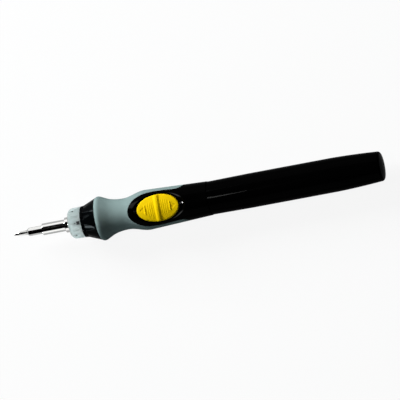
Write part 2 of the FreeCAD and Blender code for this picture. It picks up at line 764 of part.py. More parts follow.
def make_gear_case():
    """Nose tube, front wall with ball holes, gear tube and the flange that the shells hold."""
    nose = ring(X_NOSE, X_CASE_IN, NOSE_R, BUSH_R + PRESS_GAP)
    wall = ring(X_CASE, X_CASE_IN, CASE_R, BUSH_R + PRESS_GAP)
    tube = ring(X_CASE, X_PLATE, CASE_R, RING_R + SEAT_GAP)
    flange = ring(X_CASE_FLANGE, X_CASE_FLANGE + CASE_FLANGE_T, CASE_FLANGE_R, RING_R + SEAT_GAP)
    case = fused([nose, wall, tube, flange])
    groove = ring(X_CIRCLIP - SEAT_GAP, X_CIRCLIP + CIRCLIP_T + SEAT_GAP, CIRCLIP_R, NOSE_R - CIRCLIP_GROOVE)
    hole = rod(X_CASE - OVERRUN, X_CASE_IN + OVERRUN, BALL_R + BALL_FIT, 0, BALL_CIRCLE_R)
    return case.cut(groove).cut(Part.makeCompound(around(hole, BALLS)))


def make_ring_gear():
    """Internal gear for both stages, with dimples for the clutch balls."""
    half_pitch = math.pi / RING_TEETH
    space = gear(X_RING - OVERRUN, X_PLATE, RING_TEETH, RING_TIP_R, RING_ROOT_R, -BACKLASH, half_pitch)
    blank = rod(X_RING, X_PLATE - SEAT_GAP, RING_R)
    dimple = Part.makeSphere(BALL_R + BALL_FIT, Vector(X_BALL, 0, BALL_CIRCLE_R))
    return blank.cut(space).cut(Part.makeCompound(around(dimple, BALLS)))


def planet_pins(x0, x1):
    """The pins on which a stage's planets turn."""
    return [rod(x0, x1, PIN_R, y, z) for y, z in planet_spots()]


def planet_spots():
    """Where a stage's planets stand round the axis."""
    angles = [2 * math.pi * index / PLANETS for index in range(PLANETS)]
    return [(ORBIT_R * math.cos(a), ORBIT_R * math.sin(a)) for a in angles]


def make_planet(x0, x1, spot):
    """A planet gear on its pin."""
    y, z = spot
    half_pitch = math.pi / PLANET_TEETH
    wheel = gear(x0, x1, PLANET_TEETH, PLANET_ROOT_R, PLANET_TIP_R, BACKLASH, half_pitch)
    wheel = wheel.cut(rod(x0 - OVERRUN, x1 + OVERRUN, PIN_R + RUN_FIT))
    wheel.translate(Vector(0, y, z))
    return wheel


def make_output_carrier():
    """Disc on the spindle's flats with the output planets' pins."""
    disc = rod(X_CARRIER, X_CARRIER_BACK, CARRIER_R)
    flat = SHANK_FLAT + PRESS_GAP
    hole = rod(X_CARRIER - OVERRUN, X_CARRIER_BACK + OVERRUN, TAIL_SHANK_R + PRESS_GAP)
    hole = hole.common(block(X_CARRIER - OVERRUN, X_CARRIER_BACK + OVERRUN, -CARRIER_R, CARRIER_R, -flat, flat))
    pins = planet_pins(X_CARRIER, X_PLANET_OUT_BACK + SLIDE_FIT)
    return fused([disc.cut(hole)] + pins)


def make_mid_carrier():
    """First stage's carrier, with the sun gear that drives the output planets."""
    disc = rod(X_MID, X_MID_BACK, CARRIER_R)
    sun = gear(X_PLANET_OUT, X_MID_BACK, SUN_TEETH, SUN_ROOT_R, SUN_TIP_R, BACKLASH)
    return fused([disc, sun] + planet_pins(X_MID, X_PLANET_MID_BACK + SLIDE_FIT))


def make_motor_pinion():
    """Sun gear on the motor's shaft."""
    wheel = gear(X_PLANET_MID, X_PLANET_MID_BACK, SUN_TEETH, SUN_ROOT_R, SUN_TIP_R, BACKLASH)
    return wheel.cut(rod(X_PLANET_MID - OVERRUN, X_PLANET_MID_BACK + OVERRUN, SHAFT_R + PRESS_GAP))


def motor_screw_spots():
    """Where the motor's screws stand either side of its shaft."""
    return [-MOTOR_SCREW_SPREAD, MOTOR_SCREW_SPREAD]


def make_motor_plate():
    """Plate between the motor and the gear case."""
    plate = ring(X_PLATE, X_MOTOR, CASE_R, BOSS_R + SEAT_GAP)
    holes = [rod(X_PLATE - OVERRUN, X_MOTOR + OVERRUN, MOTOR_SCREW_R + SEAT_GAP, y) for y in motor_screw_spots()]
    return plate.cut(Part.makeCompound(holes))


def make_motor_screws():
    """Two screws that hold the plate to the motor."""
    screws = []
    for y in motor_screw_spots():
        head = rod(X_PLATE - MOTOR_SCREW_HEAD_T, X_PLATE, MOTOR_SCREW_HEAD_R, y)
        stem = rod(X_PLATE - MOTOR_SCREW_HEAD_T, X_PLATE + MOTOR_SCREW_LENGTH, MOTOR_SCREW_R, y)
        screws.append(fused([head, stem]))
    return Part.makeCompound(screws)


def make_motor_can():
    """Drawn can with a front boss, open at the rear."""
    can = turned(
        (X_PLATE, SHAFT_R + RUN_FIT),
        (X_PLATE, BOSS_R),
        (X_MOTOR, BOSS_R),
        (X_MOTOR, MOTOR_R - CAN_WALL),
        (X_MOTOR + CAN_WALL, MOTOR_R),
        (X_MOTOR_BACK, MOTOR_R),
        (X_MOTOR_BACK, CAN_IN_R),
        (X_MOTOR + CAN_WALL, CAN_IN_R),
        (X_MOTOR + CAN_WALL, SHAFT_R + RUN_FIT),
    )
    holes = [rod(X_PLATE, X_MOTOR + OVERRUN, MOTOR_SCREW_R + SEAT_GAP, y) for y in motor_screw_spots()]
    return can.cut(Part.makeCompound(holes))


def sector(x0, x1, outer, inner, span):
    """A piece of a ring about the axis, spread evenly either side of +Z."""
    half = math.radians(span / 2)
    inside = [Vector(x0, r * math.sin(s * half), r * math.cos(half)) for r, s in ((inner, -1), (inner, 1))]
    outside = [Vector(x0, r * math.sin(s * half), r * math.cos(half)) for r, s in ((outer, 1), (outer, -1))]
    edges = [bow(inside[0], Vector(x0, 0, inner), inside[1])]
    edges += straight(inside[1], outside[0])
    edges.append(bow(outside[0], Vector(x0, 0, outer), outside[1]))
    edges += straight(outside[1], inside[0])
    return Part.Face(Part.Wire(edges)).extrude(Vector(x1 - x0, 0, 0))


def make_motor_magnets():
    """Two curved magnets inside the can."""
    x0 = X_MOTOR + CORE_FROM_FRONT - (POLE_MAGNET_LENGTH - CORE_LENGTH) / 2
    inner = POLE_MAGNET_R - POLE_MAGNET_T
    magnet = sector(x0, x0 + POLE_MAGNET_LENGTH, POLE_MAGNET_R, inner, POLE_MAGNET_SPAN)
    return Part.makeCompound(around(magnet, 2))


def make_armature_core():
    """Stack of laminations with three poles."""
    x0 = X_MOTOR + CORE_FROM_FRONT
    x1 = x0 + CORE_LENGTH
    hub = rod(x0, x1, COMMUTATOR_R)
    neck = block(x0, x1, -POLE_NECK_W / 2, POLE_NECK_W / 2, 0, ARMATURE_R - POLE_HEAD_T / 2)
    head = sector(x0, x1, ARMATURE_R, ARMATURE_R - POLE_HEAD_T, POLE_SPAN)
    core = fused([hub] + around(neck, POLES) + around(head, POLES))
    return core.cut(rod(x0 - OVERRUN, x1 + OVERRUN, SHAFT_R + PRESS_GAP))


def make_armature_windings():
    """A coil round the neck of each pole."""
    x0 = X_MOTOR + CORE_FROM_FRONT
    x1 = x0 + CORE_LENGTH
    low = COMMUTATOR_R + SEAT_GAP
    high = ARMATURE_R - POLE_HEAD_T - SEAT_GAP
    inner = POLE_NECK_W / 2 + SEAT_GAP
    outer = low
    room = rod(x0 - OVERRUN, x1 + OVERRUN, high)
    bundle = block(x0 - WINDING_T, x1 + WINDING_T, -outer, outer, low, high)
    bundle = bundle.cut(block(x0 - SEAT_GAP, x1 + SEAT_GAP, -inner, inner, low - OVERRUN, high + OVERRUN))
    bundle = bundle.cut(rod(x0 - OVERRUN, x1 + OVERRUN, low))
    return Part.makeCompound(around(bundle.common(room), POLES))


def make_commutator():
    """Copper drum with a slit for each pole."""
    x0 = X_MOTOR_BACK - COMMUTATOR_LENGTH - SIDE_GAP
    drum = ring(x0, x0 + COMMUTATOR_LENGTH, COMMUTATOR_R, SHAFT_R + PRESS_GAP)
    half = COMMUTATOR_SLIT / 2
    deep = (COMMUTATOR_R + SHAFT_R) / 2
    slit = block(x0 - OVERRUN, x0 + COMMUTATOR_LENGTH + OVERRUN, -half, half, deep, COMMUTATOR_R + OVERRUN)
    return drum.cut(Part.makeCompound(around(slit, POLES)))


def make_motor_end_cap():
    """Plastic cap with the rear bearing and slots for the terminals."""
    cap = turned(
        (X_MOTOR_BACK, SHAFT_R + RUN_FIT),
        (X_MOTOR_BACK, CAN_IN_R),
        (X_CAP_BACK, CAN_IN_R),
        (X_CAP_BACK, END_BOSS_R),
        (X_CAP_BACK + END_BOSS_T, END_BOSS_R),
        (X_CAP_BACK + END_BOSS_T, SHAFT_R + RUN_FIT),
    )
    half = TERMINAL_W / 2 + STRIP_FIT
    slots = []
    for y in (-TERMINAL_SPREAD, TERMINAL_SPREAD):
        slots.append(
            block(
                X_MOTOR_BACK - OVERRUN,
                X_CAP_BACK + OVERRUN,
                y - half,
                y + half,
                -SEAT_GAP,
                TERMINAL_T + SEAT_GAP,
            )
        )
    return cap.cut(Part.makeCompound(slots))


def make_motor_terminals():
    """Two tabs from the board through the cap, with a brush leaf on the commutator."""
    reach = BOARD_X0 + TERMINAL_REACH / 2
    leaf_x = X_MOTOR_BACK - COMMUTATOR_LENGTH / 2
    half = TERMINAL_W / 2
    near = COMMUTATOR_R + SEAT_GAP
    tabs = []
    for side in (-1, 1):
        y = side * TERMINAL_SPREAD
        tab = block(leaf_x, reach, y - half, y + half, 0, TERMINAL_T)
        y0, y1 = sorted((side * near, side * (TERMINAL_SPREAD + half)))
        leaf = block(leaf_x, leaf_x + TERMINAL_T, y0, y1, -BRUSH_DROP, TERMINAL_T)
        tabs.append(fused([tab, leaf]))
    return Part.makeCompound(tabs)


def shell_hollow():
    """What the shells leave free for the gear case, the motor, the switch and the cradle."""
    gear_bore = CASE_R + SEAT_GAP
    flange_x0 = X_CASE_FLANGE - SEAT_GAP
    flange_x1 = X_CASE_FLANGE + CASE_FLANGE_T + SEAT_GAP
    cradle_x0 = X_CRADLE + CRADLE_FLANGE_INSET - SEAT_GAP
    cradle_x1 = X_CRADLE + CRADLE_FLANGE_INSET + CRADLE_FLANGE_T + SEAT_GAP
    return fused(
        [
            rod(X_SHELL - OVERRUN, X_MOTOR + SEAT_GAP, gear_bore),
            rod(flange_x0, flange_x1, CASE_FLANGE_R + SEAT_GAP),
            rod(X_MOTOR - SEAT_GAP, X_STOP, MOTOR_R + SLIDE_FIT),
            rod(X_STOP - SEAT_GAP, X_CAVITY + SEAT_GAP, MOTOR_R - MOTOR_STOP_H),
            rod(X_CAVITY, X_CAVITY_BACK, CAVITY_R),
            rod(X_CAVITY_BACK - SEAT_GAP, X_SEAM + OVERRUN, SPIGOT_R + SEAT_GAP),
            rod(cradle_x0, cradle_x1, CRADLE_FLANGE_R + SEAT_GAP),
        ]
    )


def shell_blank():
    """Both shells in one, still whole round the axis."""
    spigot = rod(X_SHELL, X_GRIP + CASE_FLANGE_INSET, SKIRT_R)
    outside = handle_form(0).cut(soft_skin(SLEEVE_T, 0))
    return fused([outside, spigot]).cut(shell_hollow())


def half_space(above):
    """Everything above or below the plane where the shells meet."""
    reach = RIM_R + OVERRUN
    z0, z1 = (0, reach) if above else (-reach, 0)
    return block(X_SHELL - OVERRUN, X_SEAM + OVERRUN, -reach, reach, z0, z1)


def screw_spots():
    """Where the two case screws stand in the plan."""
    return [(X_SCREWS, -SCREW_SPREAD), (X_SCREWS, SCREW_SPREAD)]


def screw_bosses(z0, z1, hole_r):
    """Posts for the case screws, trimmed to the cavity, with a hole through each."""
    inside = rod(X_CAVITY, X_CAVITY_BACK + SEAT_GAP, CAVITY_R + SEAT_GAP)
    bosses = []
    for x, y in screw_spots():
        body = post(x, y, z0, z1, SCREW_R + BOSS_WALL).common(inside)
        bosses.append(body.cut(post(x, y, z0 - OVERRUN, z1 + OVERRUN, hole_r)))
    return bosses


def screw_seat_z():
    """Height of the face under a case screw's head."""
    return SCREW_HEAD_T + SCREW_SINK - math.sqrt(BACK_R ** 2 - SCREW_SPREAD ** 2)


def make_lower_shell():
    """Lower half of the handle, with ribs under the board and sunk screw holes."""
    shell = shell_blank().common(half_space(False))
    inside = rod(X_CAVITY, X_CAVITY_BACK, CAVITY_R + SEAT_GAP)
    ribs = []
    for x in (BOARD_X0 + BOARD_RIB_INSET, BOARD_X1 - BOARD_RIB_INSET - BOARD_RIB_T):
        rib = block(x, x + BOARD_RIB_T, -CAVITY_R, CAVITY_R, -CAVITY_R, -BOARD_T)
        ribs.append(rib.common(inside))
    shell = fused([shell] + screw_bosses(-CAVITY_R - SEAT_GAP, -SEAT_GAP, SCREW_R + SLIDE_FIT) + ribs)
    seat = screw_seat_z()
    cuts = []
    for x, y in screw_spots():
        cuts.append(post(x, y, -RIM_R, seat, SCREW_HEAD_R + SLIDE_FIT))
        cuts.append(post(x, y, -RIM_R, OVERRUN, SCREW_R + SLIDE_FIT))
    return shell.cut(Part.makeCompound(cuts))


def dish():
    """The recess that the thumb switch slides in, with its ends flared."""
    top = RIM_R + OVERRUN
    walls = oval_block(X_SWITCH, DISH_HALF_L, DISH_HALF_W, 0, top)
    low = SWELL_R - DISH_FLARE_DROP
    flare = Part.makeLoft(
        [
            oval(X_SWITCH, DISH_HALF_L, DISH_HALF_W, low),
            oval(X_SWITCH, DISH_HALF_L + DISH_FLARE_L, DISH_HALF_W + DISH_FLARE_W, SWELL_R + SLEEVE_T),
        ],
        True,
    )
    return fused([walls, flare]).cut(rod(X_GRIP, X_SEAM, FLOOR_R))


def make_upper_shell():
    """Upper half of the handle, with the bezel, the dish and the slot for the switch."""
    shell = shell_blank().common(half_space(True))
    shell = fused([shell] + screw_bosses(SEAT_GAP, CAVITY_R + SEAT_GAP, SCREW_R + PRESS_GAP))
    slot_l = STEM_L + 2 * SWITCH_TRAVEL + 2 * SIDE_GAP
    slot = middle_block(X_SWITCH, 0, slot_l, STEM_W + 2 * SIDE_GAP, 0, RIM_R)
    return shell.cut(dish()).cut(slot)


def make_grip_sleeve():
    """Soft grey sleeve with a thick front rim, open round the switch."""
    return soft_skin(SLEEVE_T - SEAT_GAP, SEAT_GAP)


def crowned(lift, grow_x):
    """A barrel whose top is the switch's crowned face, raised by a lift."""
    top = SWELL_R + BUTTON_STAND + lift
    axis_z = SWELL_R + BUTTON_STAND - CROWN_R
    reach = CROWN_REACH + grow_x
    crest = bow(
        at(X_SWITCH - reach, top - CROWN_SAG),
        at(X_SWITCH, top),
        at(X_SWITCH + reach, top - CROWN_SAG),
    )
    floor = straight(
        at(X_SWITCH + reach, top - CROWN_SAG),
        at(X_SWITCH + reach, axis_z),
        at(X_SWITCH - reach, axis_z),
        at(X_SWITCH - reach, top - CROWN_SAG),
    )
    face = Part.Face(Part.Wire([crest] + floor))
    return face.revolve(Vector(0, 0, axis_z), ALONG, FULL_TURN)


def make_switch_button():
    """Yellow oval slide with a ridge across its middle and a low ridge near each end."""
    plan = oval_block(X_SWITCH, BUTTON_HALF_L, BUTTON_HALF_W, 0, RIM_R + OVERRUN)
    floor = rod(X_GRIP, X_SEAM, FLOOR_R + BUTTON_LIFT)
    cap = crowned(0, 0).common(plan)
    ridge = middle_block(X_SWITCH, 0, RIDGE_W, 2 * BUTTON_HALF_W, 0, RIM_R + OVERRUN)
    ridge = crowned(RIDGE_H, 0).common(plan).common(ridge)
    marks = []
    for side in (-1, 1):
        bar = middle_block(X_SWITCH + side * MARK_RIDGE_AT, 0, MARK_RIDGE_W, MARK_RIDGE_L, 0, RIM_R + OVERRUN)
        marks.append(crowned(MARK_RIDGE_H, 0).common(bar))
    cap = fused([cap, ridge] + marks).cut(floor)
    stem_low = CARRIAGE_FOOT + CARRIAGE_H - STEM_SINK
    stem = middle_block(X_SWITCH, 0, STEM_L, STEM_W, stem_low, FLOOR_R + FLOOR_T)
    return fused([cap, stem])


def make_switch_carriage():
    """Slider under the dish that carries the bridge contacts and takes the button's stem."""
    low = CARRIAGE_FOOT
    top = low + CARRIAGE_H
    slider = middle_block(X_SWITCH, 0, CARRIAGE_L, CARRIAGE_W, low, top)
    collar = middle_block(X_SWITCH, 0, COLLAR_L, COLLAR_W, top - STEM_SINK, top + COLLAR_RISE)
    stem_l = STEM_L + 2 * PRESS_GAP
    stem_w = STEM_W + 2 * PRESS_GAP
    socket = middle_block(X_SWITCH, 0, stem_l, stem_w, top - STEM_SINK - SEAT_GAP, top + COLLAR_RISE + OVERRUN)
    return fused([slider, collar]).cut(socket)


def make_bridge_contacts():
    """Two sprung strips under the carriage that join the pads."""
    strips = []
    high = CARRIAGE_FOOT
    low = PAD_T + SEAT_GAP
    half = BRIDGE_L / 2
    for y in (-BRIDGE_SPREAD, BRIDGE_SPREAD):
        points = [
            Vector(X_SWITCH - half, y, low),
            Vector(X_SWITCH - half + BRIDGE_FOOT, y, low),
            Vector(X_SWITCH - BRIDGE_FOOT, y, high - BRIDGE_T),
            Vector(X_SWITCH + BRIDGE_FOOT, y, high - BRIDGE_T),
            Vector(X_SWITCH + half - BRIDGE_FOOT, y, low),
            Vector(X_SWITCH + half, y, low),
        ]
        upper = [point + Vector(0, 0, BRIDGE_T) for point in reversed(points)]
        outline = Part.makePolygon(points + upper + points[:1])
        strip = Part.Face(outline).extrude(Vector(0, BRIDGE_W, 0))
        strip.translate(Vector(0, -BRIDGE_W / 2, 0))
        strips.append(strip)
    return Part.makeCompound(strips)


def make_switch_pads():
    """Copper pads on the board for both directions."""
    pads = []
    for y in (-BRIDGE_SPREAD, BRIDGE_SPREAD):
        for step in (-1, 0, 1):
            pads.append(middle_block(X_SWITCH + step * PAD_PITCH, y, PAD_L, PAD_W, 0, PAD_T))
    return Part.makeCompound(pads)


def make_switch_frame():
    """Frame on the board that guides the carriage and backs its springs."""
    inner_l = CARRIAGE_L + 2 * RETURN_SPRING_LENGTH
    inner_w = CARRIAGE_W + 2 * SLIDE_FIT
    outer = middle_block(X_SWITCH, 0, 2 * FRAME_HALF_L, inner_w + 2 * FRAME_WALL, PAD_T, FRAME_H)
    return outer.cut(middle_block(X_SWITCH, 0, inner_l, inner_w, PAD_T - OVERRUN, FRAME_H + OVERRUN))


def make_return_spring(side):
    """Spring between the carriage and one end of the frame."""
    near = X_SWITCH + side * (CARRIAGE_L / 2 + SEAT_GAP)
    far = X_SWITCH + side * (CARRIAGE_L / 2 + RETURN_SPRING_LENGTH - SEAT_GAP)
    x0, x1 = sorted((near, far))
    height = CARRIAGE_FOOT + CARRIAGE_H / 2
    return coil_spring(x0, x1, RETURN_SPRING_R, RETURN_WIRE_R, RETURN_TURNS, height)


def make_switch_board():
    """Board between the motor's tabs and the battery contacts."""
    return block(BOARD_X0, BOARD_X1, -BOARD_W / 2, BOARD_W / 2, -BOARD_T, 0)


def make_case_screws():
    """Two screws from below that hold the shells together."""
    seat = screw_seat_z()
    screws = []
    for x, y in screw_spots():
        head = post(x, y, seat - SCREW_HEAD_T, seat, SCREW_HEAD_R)
        stem = post(x, y, seat - SCREW_HEAD_T, SCREW_REACH, SCREW_R)
        across = middle_block(x, y, 2 * SCREW_R, SCREW_R / 2, -RIM_R, seat - SCREW_HEAD_T / 2)
        along = middle_block(x, y, SCREW_R / 2, 2 * SCREW_R, -RIM_R, seat - SCREW_HEAD_T / 2)
        screws.append(fused([head, stem]).cut(across).cut(along))
    return Part.makeCompound(screws)


def strip_slot():
    """Groove under the cradle for the return strip."""
    half = STRIP_W / 2 + STRIP_FIT
    low = -TROUGH_R - STRIP_FIT
    high = CONTACT_T + STRIP_FIT - TROUGH_R
    return block(X_CRADLE - OVERRUN, X_CRADLE_BACK + OVERRUN, -half, half, low, high)


def make_battery_cradle():
    """Open trough for the cells, with a spigot in front that plugs into both tubes."""
    spigot = ring(X_CRADLE, X_SPIGOT_BACK, SPIGOT_R, TROUGH_IN_R)
    wall = rod(X_CRADLE, X_CONTACT, SPIGOT_R)
    flange_x = X_CRADLE + CRADLE_FLANGE_INSET
    flange = ring(flange_x, flange_x + CRADLE_FLANGE_T, CRADLE_FLANGE_R, TROUGH_IN_R)
    trough = ring(X_CRADLE, X_CRADLE_BACK, TROUGH_R, TROUGH_IN_R)
    open_top = block(X_SPIGOT_BACK, X_CRADLE_BACK + OVERRUN, -TROUGH_R, TROUGH_R, TROUGH_LIP, SPIGOT_R)
    end = rod(X_CRADLE_END, X_CRADLE_BACK, TROUGH_R)
    body = fused([spigot, wall, flange, trough.cut(open_top), end])
    tab_half = CONTACT_TAB_W / 2 + STRIP_FIT
    tab_hole = block(X_CRADLE - OVERRUN, X_CONTACT + OVERRUN, -tab_half, tab_half, -SEAT_GAP, CONTACT_T + SEAT_GAP)
    half = STRIP_W / 2 + STRIP_FIT
    leg_x = X_REAR_PLATE - STRIP_FIT
    leg_slot = block(leg_x, X_CRADLE_END, -half, half, -TROUGH_R - OVERRUN, 0)
    return body.cut(tab_hole).cut(strip_slot()).cut(leg_slot)


def make_battery_cell(index):
    """One round cell, its positive end towards the motor."""
    x0 = X_CELL + index * CELL_LENGTH
    x1 = x0 + CELL_LENGTH
    shoulder = x0 + CELL_NUB
    return turned(
        (x0, 0),
        (x0, CELL_NUB_R),
        (shoulder, CELL_NUB_R),
        (shoulder, CELL_R - CELL_EDGE),
        (shoulder + CELL_EDGE, CELL_R),
        (x1 - CELL_EDGE, CELL_R),
        (x1, CELL_R - CELL_EDGE),
        (x1, 0),
    )


def make_battery_front_contact():
    """Plate at the front of the cells with a tab on the board."""
    plate = rod(X_CONTACT, X_CELL, CONTACT_R)
    half = CONTACT_TAB_W / 2
    tab = block(BOARD_X1 - TERMINAL_REACH / 2, X_CONTACT + CONTACT_T / 2, -half, half, 0, CONTACT_T)
    return fused([plate, tab])


def make_battery_rear_contact():
    """Spring behind the cells."""
    return coil_spring(X_CELLS_BACK, X_REAR_PLATE, BATTERY_SPRING_R, BATTERY_WIRE_R, BATTERY_TURNS)


def make_return_strip():
    """Plate behind the spring and the strip that runs under the cells to the board."""
    half = STRIP_W / 2
    low = -TROUGH_R
    plate = rod(X_REAR_PLATE, X_CRADLE_END, CONTACT_R + CELL_EDGE)
    leg = block(X_REAR_PLATE, X_CRADLE_END, -half, half, low, 0)
    rise_x = BOARD_X1 - CONTACT_T
    run = block(rise_x, X_CRADLE_END, -half, half, low, low + CONTACT_T)
    rise = block(rise_x, rise_x + CONTACT_T, -half, half, low, -BOARD_T)
    foot = block(rise_x - TERMINAL_REACH / 2, rise_x + CONTACT_T, -half, half, -BOARD_T - CONTACT_T, -BOARD_T)
    return fused([plate, leg, run, rise, foot])


def make_battery_sleeve():
    """Long rear tube that pulls off for the cells, tapered and domed at the end."""
    taper_x = X_TAIL_EDGE - TAIL_TAPER
    bulge = at((taper_x + X_TAIL_EDGE) / 2, (BARREL_R + TAIL_R) / 2 + TAIL_BULGE)
    corner_x = X_TAIL_EDGE + TAIL_ROUND
    corner_r = TAIL_R - TAIL_ROUND
    half_turn = math.sqrt(2) / 2
    edges = straight(
        at(X_COVER, SPIGOT_R + SLIDE_FIT),
        at(X_COVER, MOUTH_R - SEAM_ROUND),
        at(X_COVER + SEAM_ROUND, MOUTH_R),
        at(X_COVER + MOUTH_TAPER, BARREL_R),
        at(taper_x, BARREL_R),
    )
    edges.append(bow(at(taper_x, BARREL_R), bulge, at(X_TAIL_EDGE, TAIL_R)))
    edges.append(
        bow(
            at(X_TAIL_EDGE, TAIL_R),
            at(X_TAIL_EDGE + TAIL_ROUND * half_turn, corner_r + TAIL_ROUND * half_turn),
            at(corner_x, corner_r),
        )
    )
    sag = X_END - corner_x
    dome_r = (corner_r ** 2 + sag ** 2) / (2 * sag)
    lean = math.asin(corner_r / dome_r) / 2
    dome = at(X_END - dome_r + dome_r * math.cos(lean), dome_r * math.sin(lean))
    edges.append(bow(at(corner_x, corner_r), dome, at(X_END, 0)))
    edges += straight(
        at(X_END, 0),
        at(X_COVER_FLOOR, 0),
        at(X_COVER_FLOOR, COVER_BORE_R),
        at(X_SPIGOT_BACK + SLIDE_FIT, COVER_BORE_R),
        at(X_SPIGOT_BACK + SLIDE_FIT, SPIGOT_R + SLIDE_FIT),
        at(X_COVER, SPIGOT_R + SLIDE_FIT),
    )
    return revolved(edges)


def make_parts():
    """Every node of the assembly, by name."""
    spots = planet_spots()
    parts = {
        "screw_bit": make_screw_bit(),
        "bit_holder": make_bit_holder(),
        "socket_magnet": rod(X_SOCKET_END, X_SOCKET_END + MAGNET_LENGTH, MAGNET_R),
        "spindle_bush": make_spindle_bush(),
        "spindle_clip": split_ring(X_CLIP, X_CLIP + CLIP_T, SHANK_R + CLIP_STAND, SHANK_R - CLIP_GROOVE + PRESS_GAP),
        "torque_dial": make_torque_dial(),
        "dial_circlip": split_ring(X_CIRCLIP, X_CIRCLIP + CIRCLIP_T, CIRCLIP_R, NOSE_R - CIRCLIP_GROOVE + PRESS_GAP),
        "clutch_nut": make_clutch_nut(),
        "clutch_spring": coil_spring(X_SPRING, X_WASHER, CLUTCH_SPRING_R, CLUTCH_WIRE_R, CLUTCH_TURNS),
        "clutch_washer": ring(X_WASHER, X_WASHER + WASHER_T, NOSE_R + SIDE_GAP + WASHER_W, NOSE_R + SIDE_GAP),
        "clutch_balls": make_clutch_balls(),
        "nose_collar": make_nose_collar(),
        "gear_case": make_gear_case(),
        "ring_gear": make_ring_gear(),
        "output_carrier": make_output_carrier(),
        "mid_carrier": make_mid_carrier(),
        "motor_pinion": make_motor_pinion(),
        "motor_plate": make_motor_plate(),
        "motor_screws": make_motor_screws(),
        "motor_can": make_motor_can(),
        "motor_magnets": make_motor_magnets(),
        "motor_shaft": rod(X_PLANET_MID, X_CAP_BACK + END_BOSS_T, SHAFT_R),
        "armature_core": make_armature_core(),
        "armature_windings": make_armature_windings(),
        "commutator": make_commutator(),
        "motor_end_cap": make_motor_end_cap(),
        "motor_terminals": make_motor_terminals(),
        "lower_shell": make_lower_shell(),
        "upper_shell": make_upper_shell(),
        "grip_sleeve": make_grip_sleeve(),
        "case_screws": make_case_screws(),
        "switch_button": make_switch_button(),
        "switch_carriage": make_switch_carriage(),
        "bridge_contacts": make_bridge_contacts(),
        "switch_frame": make_switch_frame(),
        "return_spring_front": make_return_spring(-1),
        "return_spring_rear": make_return_spring(1),
        "switch_board": make_switch_board(),
        "switch_pads": make_switch_pads(),
        "battery_cradle": make_battery_cradle(),
        "battery_front_contact": make_battery_front_contact(),
        "battery_rear_contact": make_battery_rear_contact(),
        "return_strip": make_return_strip(),
        "battery_sleeve": make_battery_sleeve(),
    }
    for index, spot in enumerate(spots, start=1):
        parts["planet_out_%d" % index] = make_planet(X_PLANET_OUT, X_PLANET_OUT_BACK, spot)
        parts["planet_mid_%d" % index] = make_planet(X_PLANET_MID, X_PLANET_MID_BACK, spot)
    for index in range(CELLS):
        parts["battery_cell_%d" % (index + 1)] = make_battery_cell(index)
    return parts


def main():
    """Build every node, move it into the row's frame and write it."""
    os.makedirs("parts", exist_ok=True)
    place = Vector(-X_END / 2, 0, RIM_R)
    for node, shape in make_parts().items():
        shape.translate(place)
        shape.exportStep("parts/%s.step" % node)
        print(node, shape.ShapeType, len(shape.Solids), shape.isValid(), round(shape.Volume, 2))


main()
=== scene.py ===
"""Looks of a battery screwdriver: meshes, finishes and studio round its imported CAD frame."""

import json
import logging
import math
from dataclasses import dataclass, field, replace
from enum import Enum
from typing import Any, Callable, Iterable, Mapping, Sequence

import bmesh
import bpy
import numpy as np
from mathutils import Matrix, Vector

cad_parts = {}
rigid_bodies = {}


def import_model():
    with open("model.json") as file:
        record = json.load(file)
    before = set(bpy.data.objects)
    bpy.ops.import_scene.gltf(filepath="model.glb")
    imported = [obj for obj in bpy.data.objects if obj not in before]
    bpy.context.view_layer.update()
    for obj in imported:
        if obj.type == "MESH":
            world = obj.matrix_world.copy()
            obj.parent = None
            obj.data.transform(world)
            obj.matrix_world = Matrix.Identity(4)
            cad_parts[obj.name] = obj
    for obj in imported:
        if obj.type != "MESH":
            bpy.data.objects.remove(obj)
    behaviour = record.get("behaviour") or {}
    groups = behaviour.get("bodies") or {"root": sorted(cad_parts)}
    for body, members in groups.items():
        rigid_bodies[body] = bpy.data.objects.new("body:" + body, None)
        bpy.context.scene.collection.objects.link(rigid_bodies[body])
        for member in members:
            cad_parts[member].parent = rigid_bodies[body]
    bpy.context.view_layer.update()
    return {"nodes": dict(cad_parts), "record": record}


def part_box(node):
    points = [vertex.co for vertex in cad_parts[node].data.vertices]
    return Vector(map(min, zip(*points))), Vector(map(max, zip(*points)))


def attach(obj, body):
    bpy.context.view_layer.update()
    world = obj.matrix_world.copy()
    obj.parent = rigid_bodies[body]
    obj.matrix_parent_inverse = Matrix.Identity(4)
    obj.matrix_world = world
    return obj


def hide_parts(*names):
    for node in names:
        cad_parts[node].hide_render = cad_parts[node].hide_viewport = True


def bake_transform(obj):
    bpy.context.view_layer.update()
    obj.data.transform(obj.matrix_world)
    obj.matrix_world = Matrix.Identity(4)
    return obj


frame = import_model()

LOG = logging.getLogger("screwdriver")
MM = 0.001
TURN = 2 * math.pi
SLACK = 1e-6
HEX_TURN = math.radians(16)
LIP_SHARES = (0.0, 0.07, 0.25, 0.55)

Triple = tuple[float, float, float]
Colour = Triple
Spot = tuple[float, float]
Ring = Callable[[float], Spot]
Object = bpy.types.Object
Material = bpy.types.Material
Vert = bmesh.types.BMVert
WHITE: Colour = (1.0, 1.0, 1.0)
BLACK: Colour = (0.0, 0.0, 0.0)


class Body(Enum):
    """CAD bodies that the new pieces ride on."""

    HANDLE = "handle"
    SPINDLE = "spindle"
    BIT = "bit"
    DIAL = "dial"
    NUT = "nut"
    SWITCH = "switch"


class End(Enum):
    """Ends of a piece along the tool."""

    FRONT = "front"
    REAR = "rear"


